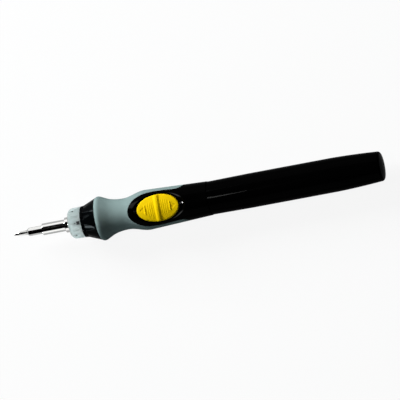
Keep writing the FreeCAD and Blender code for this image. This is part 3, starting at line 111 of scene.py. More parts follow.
class Slot(Enum):
    """Material slots of the record."""

    BIT_STEEL = "bit_steel"
    HOLDER_CHROME = "holder_chrome"
    DIAL_GREY = "dial_grey"
    COLLAR_BLACK = "collar_black"
    GRIP_GREY = "grip_grey"
    SHELL_BLACK = "shell_black"
    SLEEVE_BLACK = "sleeve_black"
    SWITCH_YELLOW = "switch_yellow"
    INNER_PLASTIC = "inner_plastic"
    CASE_PLASTIC = "case_plastic"
    GEAR_PLASTIC = "gear_plastic"
    GEAR_STEEL = "gear_steel"
    SPRING_STEEL = "spring_steel"
    ZINC_STEEL = "zinc_steel"
    BUSH_BRONZE = "bush_bronze"
    MAGNET_GREY = "magnet_grey"
    MAGNET_NICKEL = "magnet_nickel"
    WINDING_COPPER = "winding_copper"
    COPPER = "copper"
    CONTACT_BRASS = "contact_brass"
    BOARD_GREEN = "board_green"
    CELL_JACKET = "cell_jacket"


class Maths(Enum):
    """Steps of shader maths that the finishes use."""

    ADD = "ADD"
    SUBTRACT = "SUBTRACT"
    MULTIPLY = "MULTIPLY"
    MAXIMUM = "MAXIMUM"


class Shade:
    """A shader socket that takes part in Python expressions."""

    def __init__(self, graph: "ShaderGraph", socket: bpy.types.NodeSocket) -> None:
        """Keep a socket and the graph that it belongs to."""
        self.graph = graph
        self.socket = socket

    def _step(self, maths: Maths, first: Any, second: Any) -> "Shade":
        """Add one Math node."""
        return self.graph.node("ShaderNodeMath", {"operation": maths.value}, {0: first, 1: second})

    def __add__(self, other: Any) -> "Shade":
        """Sum of this and another value."""
        return self._step(Maths.ADD, self, other)

    def __radd__(self, other: Any) -> "Shade":
        """Sum of a number and this."""
        return self._step(Maths.ADD, other, self)

    def __sub__(self, other: Any) -> "Shade":
        """This less another value."""
        return self._step(Maths.SUBTRACT, self, other)

    def __rsub__(self, other: Any) -> "Shade":
        """A number less this."""
        return self._step(Maths.SUBTRACT, other, self)

    def __mul__(self, other: Any) -> "Shade":
        """Product of this and another value."""
        return self._step(Maths.MULTIPLY, self, other)

    def __rmul__(self, other: Any) -> "Shade":
        """Product of a number and this."""
        return self._step(Maths.MULTIPLY, other, self)

    def at_least(self, other: Any) -> "Shade":
        """The larger of this and another value."""
        return self._step(Maths.MAXIMUM, self, other)

    def mask(self, low: float, high: float) -> "Shade":
        """A value with soft ends: 0 where this is low, 1 where it is high."""
        limits = {"Value": self, "From Min": low, "From Max": high}
        return self.graph.node("ShaderNodeMapRange", {"interpolation_type": "SMOOTHSTEP"}, limits)


class ShaderGraph:
    """The nodes of one material or world."""

    MIX_SHARE, MIX_FIRST, MIX_SECOND, MIX_RESULT = 0, 6, 7, 2

    def __init__(self, tree: bpy.types.NodeTree) -> None:
        """Start an empty graph in a node tree."""
        self.tree = tree
        self.tree.nodes.clear()

    def node(
        self,
        kind: str,
        settings: Mapping[str, Any] | None = None,
        inputs: Mapping[Any, Any] | None = None,
        output: int | str = 0,
    ) -> Shade:
        """Add a node.

        Args:
            kind: Blender's name of the node type.
            settings: properties, which are set first.
            inputs: values or links by socket name or number.
            output: the socket to hand back.

        Returns:
            The chosen output, or an empty shade for a node without outputs.
        """
        made = self.tree.nodes.new(kind)
        for key, value in (settings or {}).items():
            setattr(made, key, value)
        for key, value in (inputs or {}).items():
            if isinstance(value, Shade):
                self.tree.links.new(value.socket, made.inputs[key])
            else:
                made.inputs[key].default_value = value
        return Shade(self, made.outputs[output] if made.outputs else None)

    def vector(self, operation: str, first: Any, second: Any) -> Shade:
        """Add one Vector Math node that gives a vector."""
        return self.node("ShaderNodeVectorMath", {"operation": operation}, {0: first, 1: second})

    def part(self, vector: Shade, name: str) -> Shade:
        """The X, Y or Z of a vector."""
        return self.node("ShaderNodeSeparateXYZ", {}, {0: vector}, name)

    def ray(self, kind: str) -> Shade:
        """1 for rays of a kind that the Light Path node names, 0 for others."""
        return self.node("ShaderNodeLightPath", output=kind)

    def place(self, stretch: Triple = (1.0, 1.0, 1.0)) -> Shade:
        """The object's own coordinates in millimetres, times a stretch along each axis."""
        spot = self.node("ShaderNodeTexCoord", output="Object")
        return self.vector("MULTIPLY", spot, tuple(value / MM for value in stretch))

    def noise(self, spot: Shade, pitch: float = 1.0, detail: float = 2.0) -> Shade:
        """Soft random values around one half, with grains of a pitch in the units of the spot."""
        return self.node("ShaderNodeTexNoise", {}, {"Vector": spot, "Scale": 1 / pitch, "Detail": detail})

    def blend(self, share: Any, first: Any, second: Any) -> Shade:
        """Mix two colours: the first at share 0, the second at share 1."""
        inputs = {self.MIX_SHARE: share, self.MIX_FIRST: first, self.MIX_SECOND: second}
        return self.node("ShaderNodeMix", {"data_type": "RGBA"}, inputs, self.MIX_RESULT)

    def shades(self, share: Any, colour: Colour, low: float, high: float) -> Shade:
        """Mix two levels of one colour: the low one at share 0, the high one at share 1."""
        return self.blend(share, tinted(colour, low), tinted(colour, high))

    def bump(self, height: Shade, depth: float) -> Shade:
        """Turn a height from 0 to 1 into a normal; the depth is that of 1, in millimetres."""
        return self.node("ShaderNodeBump", {}, {"Strength": 1.0, "Distance": depth * MM, "Height": height})

    def surface(self, inputs: Mapping[str, Any]) -> None:
        """Close the graph with a principled surface that takes the given inputs."""
        shader = self.node("ShaderNodeBsdfPrincipled", {}, inputs)
        self.node("ShaderNodeOutputMaterial", {}, {"Surface": shader})


def tinted(colour: Colour, level: float = 1.0) -> tuple[float, float, float, float]:
    """A colour made lighter or darker, ready for a socket."""
    return (*(min(1.0, part * level) for part in colour), 1.0)


@dataclass(frozen=True)
class Finish:
    """A surface finish: a base colour and a way to draw it. Its lengths are millimetres."""

    name: str
    colour: Colour

    def material(self) -> Material:
        """Make the material of this finish.

        Returns:
            The new material.
        """
        made = bpy.data.materials.new(self.name)
        made.use_nodes = True
        self.draw(ShaderGraph(made.node_tree))
        return made

    def draw(self, graph: ShaderGraph) -> None:
        """Fill a graph with the finish, which each kind of finish does in its own way."""
        raise NotImplementedError


@dataclass(frozen=True)
class DishLip:
    """The rear lip of an oval dish, which thumbs rub bright; its shares are of the oval."""

    middle: Spot
    half_length: float
    half_width: float
    inner_share: float = 0.9
    outer_share: float = 1.0
    soft_share: float = 0.02
    rear_shares: Spot = (0.3, 0.7)

    def polish(self, graph: ShaderGraph) -> Shade:
        """Draw where the lip is polished.

        Args:
            graph: the graph that takes the nodes.

        Returns:
            1 on the lip, 0 in the dish and outside it.
        """
        off = graph.vector("SUBTRACT", graph.place(), (*self.middle, 0.0))
        scaled = graph.vector("MULTIPLY", off, (1 / self.half_length, 1 / self.half_width, 0.0))
        away = graph.node("ShaderNodeVectorMath", {"operation": "LENGTH"}, {0: scaled}, "Value")
        behind = graph.part(scaled, "X").mask(*self.rear_shares)
        soft = self.soft_share
        past_inner = away.mask(self.inner_share - soft, self.inner_share + soft)
        past_outer = away.mask(self.outer_share - soft, self.outer_share + soft)
        return past_inner * (1 - past_outer) * behind


@dataclass(frozen=True)
class MouldedPlastic(Finish):
    """Moulded plastic with a fine tool texture, soft clouding and light handling marks."""

    gloss: Spot = (0.35, 0.5)
    mottle: float = 0.04
    cloud: float = 9.0
    cloud_detail: float = 3.0
    cloud_edge: Spot = (0.3, 0.7)
    grain: float = 0.16
    depth: float = 0.006
    hairline: float = 0.08
    hairline_stretch: Triple = (0.12, 2.2, 2.2)
    hairline_edge: Spot = (0.66, 0.72)
    hairline_detail: float = 1.0
    ior: float = 1.45
    milky: float = 0.0
    milk: float = 5.0
    lip: DishLip | None = None
    lip_roughness: float = 0.08

    def draw(self, graph: ShaderGraph) -> None:
        """Cloud the colour, spread the gloss and roughen the skin.

        Args:
            graph: the graph to fill.
        """
        clouds = graph.noise(graph.place(), self.cloud, self.cloud_detail).mask(*self.cloud_edge)
        grain = graph.noise(graph.place(), self.grain)
        marks = graph.noise(graph.place(self.hairline_stretch), detail=self.hairline_detail)
        hairlines = marks.mask(*self.hairline_edge)
        low, high = self.gloss
        graph.surface(
            {
                "Base Color": graph.shades(clouds, self.colour, 1 - self.mottle, 1 + self.mottle),
                "Roughness": low + clouds * (high - low) + hairlines * self.hairline,
                "IOR": self.ior,
                "Subsurface Weight": self.milky,
                "Subsurface Scale": self.milk * MM,
                "Subsurface Radius": WHITE,
                "Coat Weight": self.lip.polish(graph) if self.lip else 0.0,
                "Coat Roughness": self.lip_roughness,
                "Normal": graph.bump(grain, self.depth),
            }
        )


@dataclass(frozen=True)
class SoftRubber(Finish):
    """Soft-touch rubber: matt, finely pored, a little dusty where it is handled."""

    pore: float = 0.22
    pore_detail: float = 3.0
    depth: float = 0.012
    dust: float = 0.1
    patch: float = 7.0
    patch_detail: float = 4.0
    patch_edge: Spot = (0.35, 0.75)
    fleck: float = 0.5
    fleck_detail: float = 1.0
    fleck_edge: Spot = (0.62, 0.8)
    fleck_gain: float = 4.0
    roughness: float = 0.58
    patch_roughness: float = 0.12
    pore_roughness: float = 0.08
    ior: float = 1.18

    def draw(self, graph: ShaderGraph) -> None:
        """Draw pores in the skin and pale dust in large patches and small flecks.

        Args:
            graph: the graph to fill.
        """
        patches = graph.noise(graph.place(), self.patch, self.patch_detail).mask(*self.patch_edge)
        pores = graph.noise(graph.place(), self.pore, self.pore_detail)
        flecks = graph.noise(graph.place(), self.fleck, self.fleck_detail).mask(*self.fleck_edge)
        skin = graph.shades(patches, self.colour, 1 - self.dust / 2, 1 + self.dust / 2)
        pale = tinted(self.colour, 1 + self.fleck_gain * self.dust)
        graph.surface(
            {
                "Base Color": graph.blend(flecks * self.dust, skin, pale),
                "Roughness": self.roughness + patches * self.patch_roughness + pores * self.pore_roughness,
                "IOR": self.ior,
                "Normal": graph.bump(pores, self.depth),
            }
        )


@dataclass(frozen=True)
class Metal(Finish):
    """Bare or plated metal with fine working marks and a thin breath of tarnish."""

    gloss: Spot = (0.12, 0.25)
    tarnish: float = 0.12
    marks: Triple = (6.0, 1.0, 1.0)
    depth: float = 0.002
    patch: float = 2.5
    patch_detail: float = 3.0
    patch_edge: Spot = (0.4, 0.75)

    def draw(self, graph: ShaderGraph) -> None:
        """Draw working marks along their own direction and darker tarnish in patches.

        Args:
            graph: the graph to fill.
        """
        patches = graph.noise(graph.place(), self.patch, self.patch_detail).mask(*self.patch_edge)
        marks = graph.noise(graph.place(self.marks))
        low, high = self.gloss
        half = (high - low) / 2
        graph.surface(
            {
                "Base Color": graph.shades(patches, self.colour, 1.0, 1 - self.tarnish),
                "Roughness": low + patches * half + marks * half,
                "Metallic": 1.0,
                "Normal": graph.bump(marks, self.depth),
            }
        )


@dataclass(frozen=True)
class WoundWire(Finish):
    """Enamelled wire laid turn by turn round a pole."""

    pitch: float = 0.28
    depth: float = 0.08
    # Colour levels: painted shade in the gaps between turns, painted highlight on each turn.
    gap_shade_level: float = 0.35
    crest_highlight_level: float = 1.1
    roughness: float = 0.22
    gap_roughness: float = 0.3
    metallic: float = 0.85

    def draw(self, graph: ShaderGraph) -> None:
        """Draw the turns as ribs, with painted shade in the gaps and a painted highlight along each turn.

        Args:
            graph: the graph to fill.
        """
        bands = {"wave_type": "BANDS", "bands_direction": "DIAGONAL"}
        laid = {"Vector": graph.place(), "Scale": 1 / self.pitch}
        turns = graph.node("ShaderNodeTexWave", bands, laid, "Fac")
        graph.surface(
            {
                # Base colour carries painted shade in the gaps and a painted highlight on the turns.
                "Base Color": graph.shades(turns, self.colour, self.gap_shade_level, self.crest_highlight_level),
                "Roughness": self.roughness + (1 - turns) * self.gap_roughness,
                "Metallic": self.metallic,
                "Normal": graph.bump(turns, self.depth),
            }
        )


@dataclass(frozen=True)
class PrintedBoard(Finish):
    """Circuit board: lacquer over copper tracks."""

    track: float = 1.3
    track_share: float = 0.05
    track_offset: float = 0.5
    depth: float = 0.03
    board_level: float = 0.9
    track_level: float = 2.2
    weave: float = 0.4
    weave_stretch: Triple = (2.0, 2.0, 1.0)
    roughness: float = 0.25
    weave_roughness: float = 0.2

    def draw(self, graph: ShaderGraph) -> None:
        """Draw pale tracks under the lacquer.

        Args:
            graph: the graph to fill.
        """
        laid = {"Vector": graph.place(), "Scale": 1 / self.track, "Mortar Size": self.track_share}
        lines = graph.node("ShaderNodeTexBrick", {"offset": self.track_offset}, laid, "Fac")
        weave = graph.noise(graph.place(self.weave_stretch), self.weave)
        graph.surface(
            {
                "Base Color": graph.shades(lines, self.colour, self.board_level, self.track_level),
                "Roughness": self.roughness + weave * self.weave_roughness,
                "Normal": graph.bump(lines, self.depth),
            }
        )


@dataclass(frozen=True)
class ShrinkJacket(Finish):
    """Plain shrunk jacket on a battery cell, with bare metal at the ends of the cell."""

    ends: Colour = (0.62, 0.62, 0.6)
    end_edge: Spot = (0.5, 0.8)
    wrinkle_stretch: Triple = (0.3, 1.6, 1.6)
    depth: float = 0.02
    roughness: float = 0.25
    wrinkle_roughness: float = 0.15

    def draw(self, graph: ShaderGraph) -> None:
        """Show metal where a face looks along the axis and wrinkled film elsewhere.

        Args:
            graph: the graph to fill.
        """
        facing = graph.part(graph.node("ShaderNodeTexCoord", output="Normal"), "X")
        end_face = (facing * facing).mask(*self.end_edge)
        wrinkles = graph.noise(graph.place(self.wrinkle_stretch))
        graph.surface(
            {
                "Base Color": graph.blend(end_face, tinted(self.colour), tinted(self.ends)),
                "Roughness": self.roughness + wrinkles * self.wrinkle_roughness,
                "Metallic": end_face,
                "Normal": graph.bump(wrinkles, self.depth),
            }
        )


BLACKEST: Colour = (0.0005, 0.0005, 0.0005)
FINISHES: dict[Slot, Finish] = {
    Slot(finish.name): finish
    for finish in (
        Metal(
            "bit_steel", (0.88, 0.88, 0.86), gloss=(0.05, 0.12), tarnish=0.1, marks=(1.0, 7.0, 7.0),
            depth=0.0004,
        ),
        Metal(
            "holder_chrome", (0.95, 0.945, 0.93), gloss=(0.03, 0.08), tarnish=0.04, marks=(5.0, 0.6, 0.6),
            depth=0.00005,
        ),
        MouldedPlastic(
            "dial_grey", (0.41, 0.53, 0.525), gloss=(0.4, 0.52), mottle=0.03, cloud=5.0, grain=0.14,
            ior=1.3, milky=1.0, milk=14.0,
        ),
        MouldedPlastic(
            "collar_black", (0.001, 0.0013, 0.0016), gloss=(0.1, 0.14), mottle=0.1, cloud=6.0, grain=0.2,
            depth=0.0004, hairline=0.05, ior=1.08,
        ),
        SoftRubber("grip_grey", (0.215, 0.295, 0.29)),
        MouldedPlastic(
            "shell_black", BLACKEST, gloss=(0.08, 0.12), mottle=0.1, grain=0.3, depth=0.0003, hairline=0.04,
            ior=1.05,
        ),
        MouldedPlastic(
            "sleeve_black", BLACKEST, gloss=(0.06, 0.09), mottle=0.1, cloud=12.0, grain=0.3, depth=0.0002,
            hairline=0.04, ior=1.045,
        ),
        MouldedPlastic(
            "switch_yellow", (0.88, 0.6, 0.001), gloss=(0.55, 0.65), mottle=0.03, cloud=4.0, grain=0.14,
            hairline=0.05, ior=1.1,
        ),
        MouldedPlastic("inner_plastic", (0.05, 0.05, 0.055), gloss=(0.45, 0.6)),
        MouldedPlastic("case_plastic", (0.3, 0.3, 0.28), gloss=(0.45, 0.6)),
        MouldedPlastic("gear_plastic", (0.7, 0.68, 0.6)),
        MouldedPlastic("magnet_grey", (0.09, 0.09, 0.1), gloss=(0.5, 0.7)),
        Metal("gear_steel", (0.45, 0.45, 0.44), gloss=(0.3, 0.5), tarnish=0.25, marks=(3.0, 3.0, 3.0)),
        Metal("spring_steel", (0.5, 0.5, 0.5), gloss=(0.2, 0.32)),
        Metal("zinc_steel", (0.52, 0.52, 0.5), gloss=(0.25, 0.42), tarnish=0.18, marks=(2.0, 2.0, 2.0)),
        Metal("bush_bronze", (0.52, 0.33, 0.14), gloss=(0.3, 0.5), tarnish=0.3),
        Metal("magnet_nickel", (0.6, 0.6, 0.58), gloss=(0.1, 0.2)),
        Metal("copper", (0.7, 0.32, 0.18), gloss=(0.2, 0.35), tarnish=0.3),
        Metal("contact_brass", (0.72, 0.56, 0.24), gloss=(0.2, 0.35), tarnish=0.25),
        WoundWire("winding_copper", (0.55, 0.2, 0.07)),
        PrintedBoard("board_green", (0.02, 0.14, 0.05)),
        ShrinkJacket("cell_jacket", (0.1, 0.11, 0.13)),
    )
}
DIAL_INK = MouldedPlastic("dial_ink", (0.012, 0.016, 0.018), gloss=(0.5, 0.65))
DIAL_FAINT_INK = MouldedPlastic("dial_faint_ink", (0.06, 0.08, 0.08), gloss=(0.5, 0.65))


class Paintbox:
    """Hands out each finish's material, made once."""

    def __init__(self) -> None:
        """Start with no material made."""
        self._made: dict[str, Material] = {}

    def of(self, finish: Finish) -> Material:
        """Find or make the material of a finish.

        Args:
            finish: the finish, known by its name.

        Returns:
            Its material.
        """
        if finish.name not in self._made:
            self._made[finish.name] = finish.material()
        return self._made[finish.name]

    def slot(self, slot: Slot) -> Material:
        """The material of a record slot."""
        return self.of(FINISHES[slot])


@dataclass(frozen=True)
class ToolAxis:
    """The tool's axis in the row's frame; places on it are millimetres behind the tip of the bit."""

    tip_x: float
    height: float

    @classmethod
    def from_frame(cls) -> "ToolAxis":
        """Read the axis from the bit and the rear sleeve."""
        low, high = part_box("battery_sleeve")
        return cls(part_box("screw_bit")[0].x, (low.z + high.z) / 2)

    def point(self, x: float, y: float = 0.0, z: float = 0.0) -> Vector:
        """A place in millimetres from the tip as a point of the frame."""
        return Vector((self.tip_x + x * MM, y * MM, self.height + z * MM))

    def around(self, x: float, radius: float, angle: float) -> Vector:
        """A point on a circle about the axis, its angle counted from straight up towards +Y."""
        return self.point(x, radius * math.sin(angle), radius * math.cos(angle))

    def span(self, node: str) -> Spot:
        """Where a CAD node starts and ends along the axis, in millimetres."""
        low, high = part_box(node)
        return (low.x - self.tip_x) / MM, (high.x - self.tip_x) / MM

    def middle(self, node: str) -> float:
        """The middle of a CAD node along the axis, in millimetres."""
        return sum(self.span(node)) / 2

    def reach(self, node: str) -> float:
        """How far a CAD node stands out sideways from the axis, in millimetres."""
        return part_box(node)[1].y / MM


@dataclass(frozen=True)
class Corner:
    """A corner of a half outline: place along the axis, radius, and how far it is rounded."""

    x: float
    r: float
    ease: float = 0.0

    ROOM_SHARE = 0.98
    ARC_STEP = math.radians(14)

    @property
    def spot(self) -> np.ndarray:
        """Place and radius as a vector."""
        return np.array((self.x, self.r))

    def arc(self, before: "Corner", after: "Corner") -> list[np.ndarray]:
        """Round the corner.

        Args:
            before: the corner in front of it.
            after: the corner behind it.

        Returns:
            Points on its arc, which is cut down where it would meet a neighbour's arc.
        """
        runs, room = [], []
        for other in (before, after):
            run = other.spot - self.spot
            length = np.linalg.norm(run)
            runs.append(run / length)
            room.append(self.ROOM_SHARE * length * self.ease / (self.ease + other.ease))
        back, ahead = runs
        half = math.acos(float(np.clip(back @ ahead, -1, 1))) / 2
        cut = min(self.ease / math.tan(half), *room)
        radius = cut * math.tan(half)
        middle = self.spot + (back + ahead) / np.linalg.norm(back + ahead) * radius / math.sin(half)
        first, last = self.spot + back * cut - middle, self.spot + ahead * cut - middle
        sweep = math.pi - 2 * half
        steps = max(2, math.ceil(sweep / self.ARC_STEP))
        points = []
        for part in np.arange(steps + 1) / steps:
            turned = first * math.sin((1 - part) * sweep) + last * math.sin(part * sweep)
            points.append(middle + turned / math.sin(sweep))
        return points


def rounded(corners: Sequence[Corner], step: float, closed: bool) -> list[Spot]:
    """Turn corners into outline points.

    Args:
        corners: the corners in order.
        step: longest stretch between two points on a straight run, in millimetres.
        closed: whether the last corner joins the first.

    Returns:
        Points along the outline, with an arc at each eased corner.
    """
    turns: list[list[np.ndarray]] = []
    count = len(corners)
    for index, corner in enumerate(corners):
        loose_end = not closed and index in (0, count - 1)
        if loose_end or corner.ease <= 0:
            turns.append([corner.spot])
        else:
            turns.append(corner.arc(corners[index - 1], corners[(index + 1) % count]))
    outline: list[Spot] = []
    for index in range(count):
        outline += [tuple(point) for point in turns[index]]
        if closed or index < count - 1:
            start, end = turns[index][-1], turns[(index + 1) % count][0]
            pieces = max(1, math.ceil(np.linalg.norm(end - start) / step))
            outline += [tuple(start + (end - start) * part / pieces) for part in range(1, pieces)]
    return outline


class SmoothCurve:
    """A smooth curve through points, with given directions at both ends."""

    def __init__(self, points: Sequence[Spot], first: Spot, last: Spot) -> None:
        """Fit the curve.

        Args:
            points: where the curve passes.
            first: direction at the first point.
            last: direction at the last point.
        """
        self.points = np.array(points, float)
        self.steps = np.linalg.norm(np.diff(self.points, axis=0), axis=1)
        slopes = np.diff(self.points, axis=0) / self.steps[:, None]
        count = len(points)
        system = np.zeros((count, count))
        wanted = np.zeros((count, 2))
        system[0, 0] = system[-1, -1] = 1
        wanted[0] = np.array(first) / np.linalg.norm(first)
        wanted[-1] = np.array(last) / np.linalg.norm(last)
        for index in range(1, count - 1):
            before, after = self.steps[index - 1], self.steps[index]
            system[index, index - 1 : index + 2] = after, 2 * (before + after), before
            wanted[index] = 3 * (after * slopes[index - 1] + before * slopes[index])
        self.headings = np.linalg.solve(system, wanted)

    def sample(self, per_run: int) -> np.ndarray:
        """Points along the curve.

        Args:
            per_run: how many points lie between two given ones.

        Returns:
            One row per point.
        """
        rows = []
        for index, step in enumerate(self.steps):
            for part in np.arange(per_run) / per_run:
                rows.append(self._between(index, step, part))
        return np.array(rows + [self.points[-1]])

    def _between(self, index: int, step: float, part: float) -> np.ndarray:
        """A point on one run of the curve.

        Args:
            index: which run.
            step: the run's length.
            part: how far along the run, from 0 to 1.

        Returns:
            The point.
        """
        start, end = self.points[index], self.points[index + 1]
        leave, arrive = self.headings[index] * step, self.headings[index + 1] * step
        rest = 1 - part
        hold = rest * rest * (1 + 2 * part) * start + part * part * (3 - 2 * part) * end
        return hold + part * rest * rest * leave - part * part * rest * arrive


def round_fall(away: float, ease: float) -> float:
    """How far a skin falls at a distance from its edge, so that the edge is round."""
    return ease - math.sqrt(ease * ease - (ease - away) ** 2) if away < ease else 0.0


def bell(value: float, half: float, soft: float) -> float:
    """A smooth bump: 1 within half less soft, 0 beyond half plus soft."""
    part = min(1.0, max(0.0, (half + soft - abs(value)) / (2 * soft)))
    return part * part * (3 - 2 * part)


def hexagon_radius(flats: float, angle: float) -> float:
    """Radius of the bit's hexagon, turned a little off level, at an angle from straight up."""
    sixth = TURN / 6
    return flats / 2 / math.cos((angle + HEX_TURN + sixth / 2) % sixth - sixth / 2)


def stand(name: str, data: bpy.types.ID) -> Object:
    """Put an object into the scene.

    Args:
        name: the object's name.
        data: its mesh, lamp or camera.

    Returns:
        The new object.
    """
    made = bpy.data.objects.new(name, data)
    bpy.context.scene.collection.objects.link(made)
    return made


class MeshMaker:
    """Collects points and faces and turns them into one closed, smooth piece."""

    WELD = 2e-6
    CREASE = math.radians(38)

    def __init__(self, axis: ToolAxis) -> None:
        """Start an empty mesh on the tool's axis."""
        self.axis = axis
        self.mesh = bmesh.new()

    def row(self, points: Iterable[Vector]) -> list[Vert]:
        """Add a row of points."""
        return [self.mesh.verts.new(point) for point in points]

    def skin(self, rows: Sequence[Sequence[Vert]], wrap: bool = False, ring: bool = True) -> None:
        """Join rows of points with faces.

        Args:
            rows: rows with the same number of points.
            wrap: whether the last row joins the first.
            ring: whether each row is closed in itself.
        """
        follow = list(rows[1:]) + ([rows[0]] if wrap else [])
        for near, far in zip(rows, follow):
            count = len(near)
            for index in range(count if ring else count - 1):
                other = (index + 1) % count
                self.mesh.faces.new((near[index], near[other], far[other], far[index]))

    def fan(self, row: Sequence[Vert], x: float) -> None:
        """Close a ring with a fan of faces.

        Args:
            row: the ring's points.
            x: place of the fan's hub on the axis.
        """
        hub = self.mesh.verts.new(self.axis.point(x))
        for index, vert in enumerate(row):
            self.mesh.faces.new((vert, row[(index + 1) % len(row)], hub))

    def lathe(self, rings: Sequence[Ring], segments: int, wrap: bool) -> list[list[Vert]]:
        """Skin a stack of rings about the axis.

        Args:
            rings: each gives a place along the axis and a radius for an angle.
            segments: points in a ring.
            wrap: whether the stack closes on itself, as a ring-shaped piece does.

        Returns:
            The rows of points.
        """
        angles = [TURN * index / segments for index in range(segments)]
        rows = [self.row(self.axis.around(*ring(angle), angle) for angle in angles) for ring in rings]
        self.skin(rows, wrap)
        return rows

    def piece(self, name: str, material: Material) -> Object:
        """Close the mesh as an object.

        Args:
            name: the piece's name.
            material: its finish.

        Returns:
            The new object, not yet riding on a body.
        """
        bmesh.ops.remove_doubles(self.mesh, verts=self.mesh.verts, dist=self.WELD)
        bmesh.ops.dissolve_degenerate(self.mesh, edges=self.mesh.edges, dist=self.WELD / 2)
        bmesh.ops.recalc_face_normals(self.mesh, faces=self.mesh.faces)
        data = bpy.data.meshes.new(name)
        self.mesh.to_mesh(data)
        self.mesh.free()
        data.shade_smooth()
        data.set_sharp_from_angle(angle=self.CREASE)
        data.materials.append(material)
        return stand(name, data)


@dataclass
class Assembly:
    """What every sub-assembly needs to place its pieces; its sizes are millimetres."""

    axis: ToolAxis
    paints: Paintbox

    def build(self) -> list[Object]:
        """Make the pieces, which each sub-assembly does in its own way."""
        raise NotImplementedError

    def seat(self, made: Object, body: Body, slot: Slot, *nodes: str) -> Object:
        """Let a piece ride on its body.

        Args:
            made: the piece.
            body: the CAD body that carries it.
            slot: not used.
            nodes: CAD nodes that it stands for.

        Returns:
            The same piece.
        """
        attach(made, body.value)
        if nodes:
            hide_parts(*nodes)
        LOG.info("piece %s on %s, %d faces", made.name, body.value, len(made.data.polygons))
        return made


@dataclass
class ScrewBit(Assembly):
    """The cross-head bit; the flutes' lean is in degrees."""

    flats: float = 4.0
    corner_ease: float = 0.07
    neck: float = 1.15
    point: float = 0.42
    point_length: float = 2.6
    neck_end: float = 7.0
    cone: float = 1.2
    blade: float = 0.45
    flute_lean: float = 30.0
    flute_end: float = 9.0
    tail_ease: float = 0.3
    shank_lead: float = 0.2
    point_rows: int = 60
    cone_rows: int = 10
    shank_rows: int = 12
    segments: int = 144
    end: float = field(init=False)

    def __post_init__(self) -> None:
        """Take the length from the CAD node."""
        self.end = self.axis.span("screw_bit")[1]

    def radius(self, x: float, angle: float) -> float:
        """How thick the bit is.

        Args:
            x: place along the axis.
            angle: angle from straight up.

        Returns:
            The radius there.
        """
        corner = self.flats / math.sqrt(3) - self.corner_ease
        if x >= self.neck_end:
            cone = self.neck + (x - self.neck_end) * (corner - self.neck) / self.cone
            tail = corner - max(0.0, x - self.end + self.tail_ease)
            return min(hexagon_radius(self.flats, angle), corner, cone, tail)
        body = min(self.neck, self.point + x * (self.neck - self.point) / self.point_length)
        fluted = self.fluted(body, angle)
        runout = (x - self.point_length) / (self.flute_end - self.point_length)
        return fluted + (body - fluted) * min(1.0, max(0.0, runout))

    def fluted(self, body: float, angle: float) -> float:
        """Shape of the point: four flat-ended blades and flutes with leaning walls between them.

        Args:
            body: how far the blades reach.
            angle: angle from straight up.

        Returns:
            The radius there.
        """
        quarter = TURN / 4
        off = abs((angle + quarter / 2) % quarter - quarter / 2)
        lean = math.tan(math.radians(self.flute_lean))
        wall = (min(self.blade, body) + body * lean) / (math.sin(off) + math.cos(off) * lean)
        return min(body / math.cos(off), wall)

    def build(self) -> list[Object]:
        """Skin the bit from its point to its tail.

        Returns:
            The bit.
        """
        cone_end = self.neck_end + self.cone
        front = np.linspace(0, self.neck_end, self.point_rows)
        shoulder = np.linspace(self.neck_end, cone_end, self.cone_rows)
        shank = np.linspace(cone_end + self.shank_lead, self.end - self.tail_ease, self.shank_rows)
        places = [*front, *shoulder[1:], *shank, self.end]
        maker = MeshMaker(self.axis)
        rings = [lambda angle, x=x: (x, self.radius(x, angle)) for x in places]
        rows = maker.lathe(rings, self.segments, False)
        maker.fan(rows[0], 0.0)
        maker.fan(rows[-1], self.end)
        made = maker.piece("cross_bit", self.paints.slot(Slot.BIT_STEEL))
        return [self.seat(made, Body.BIT, Slot.BIT_STEEL, "screw_bit")]


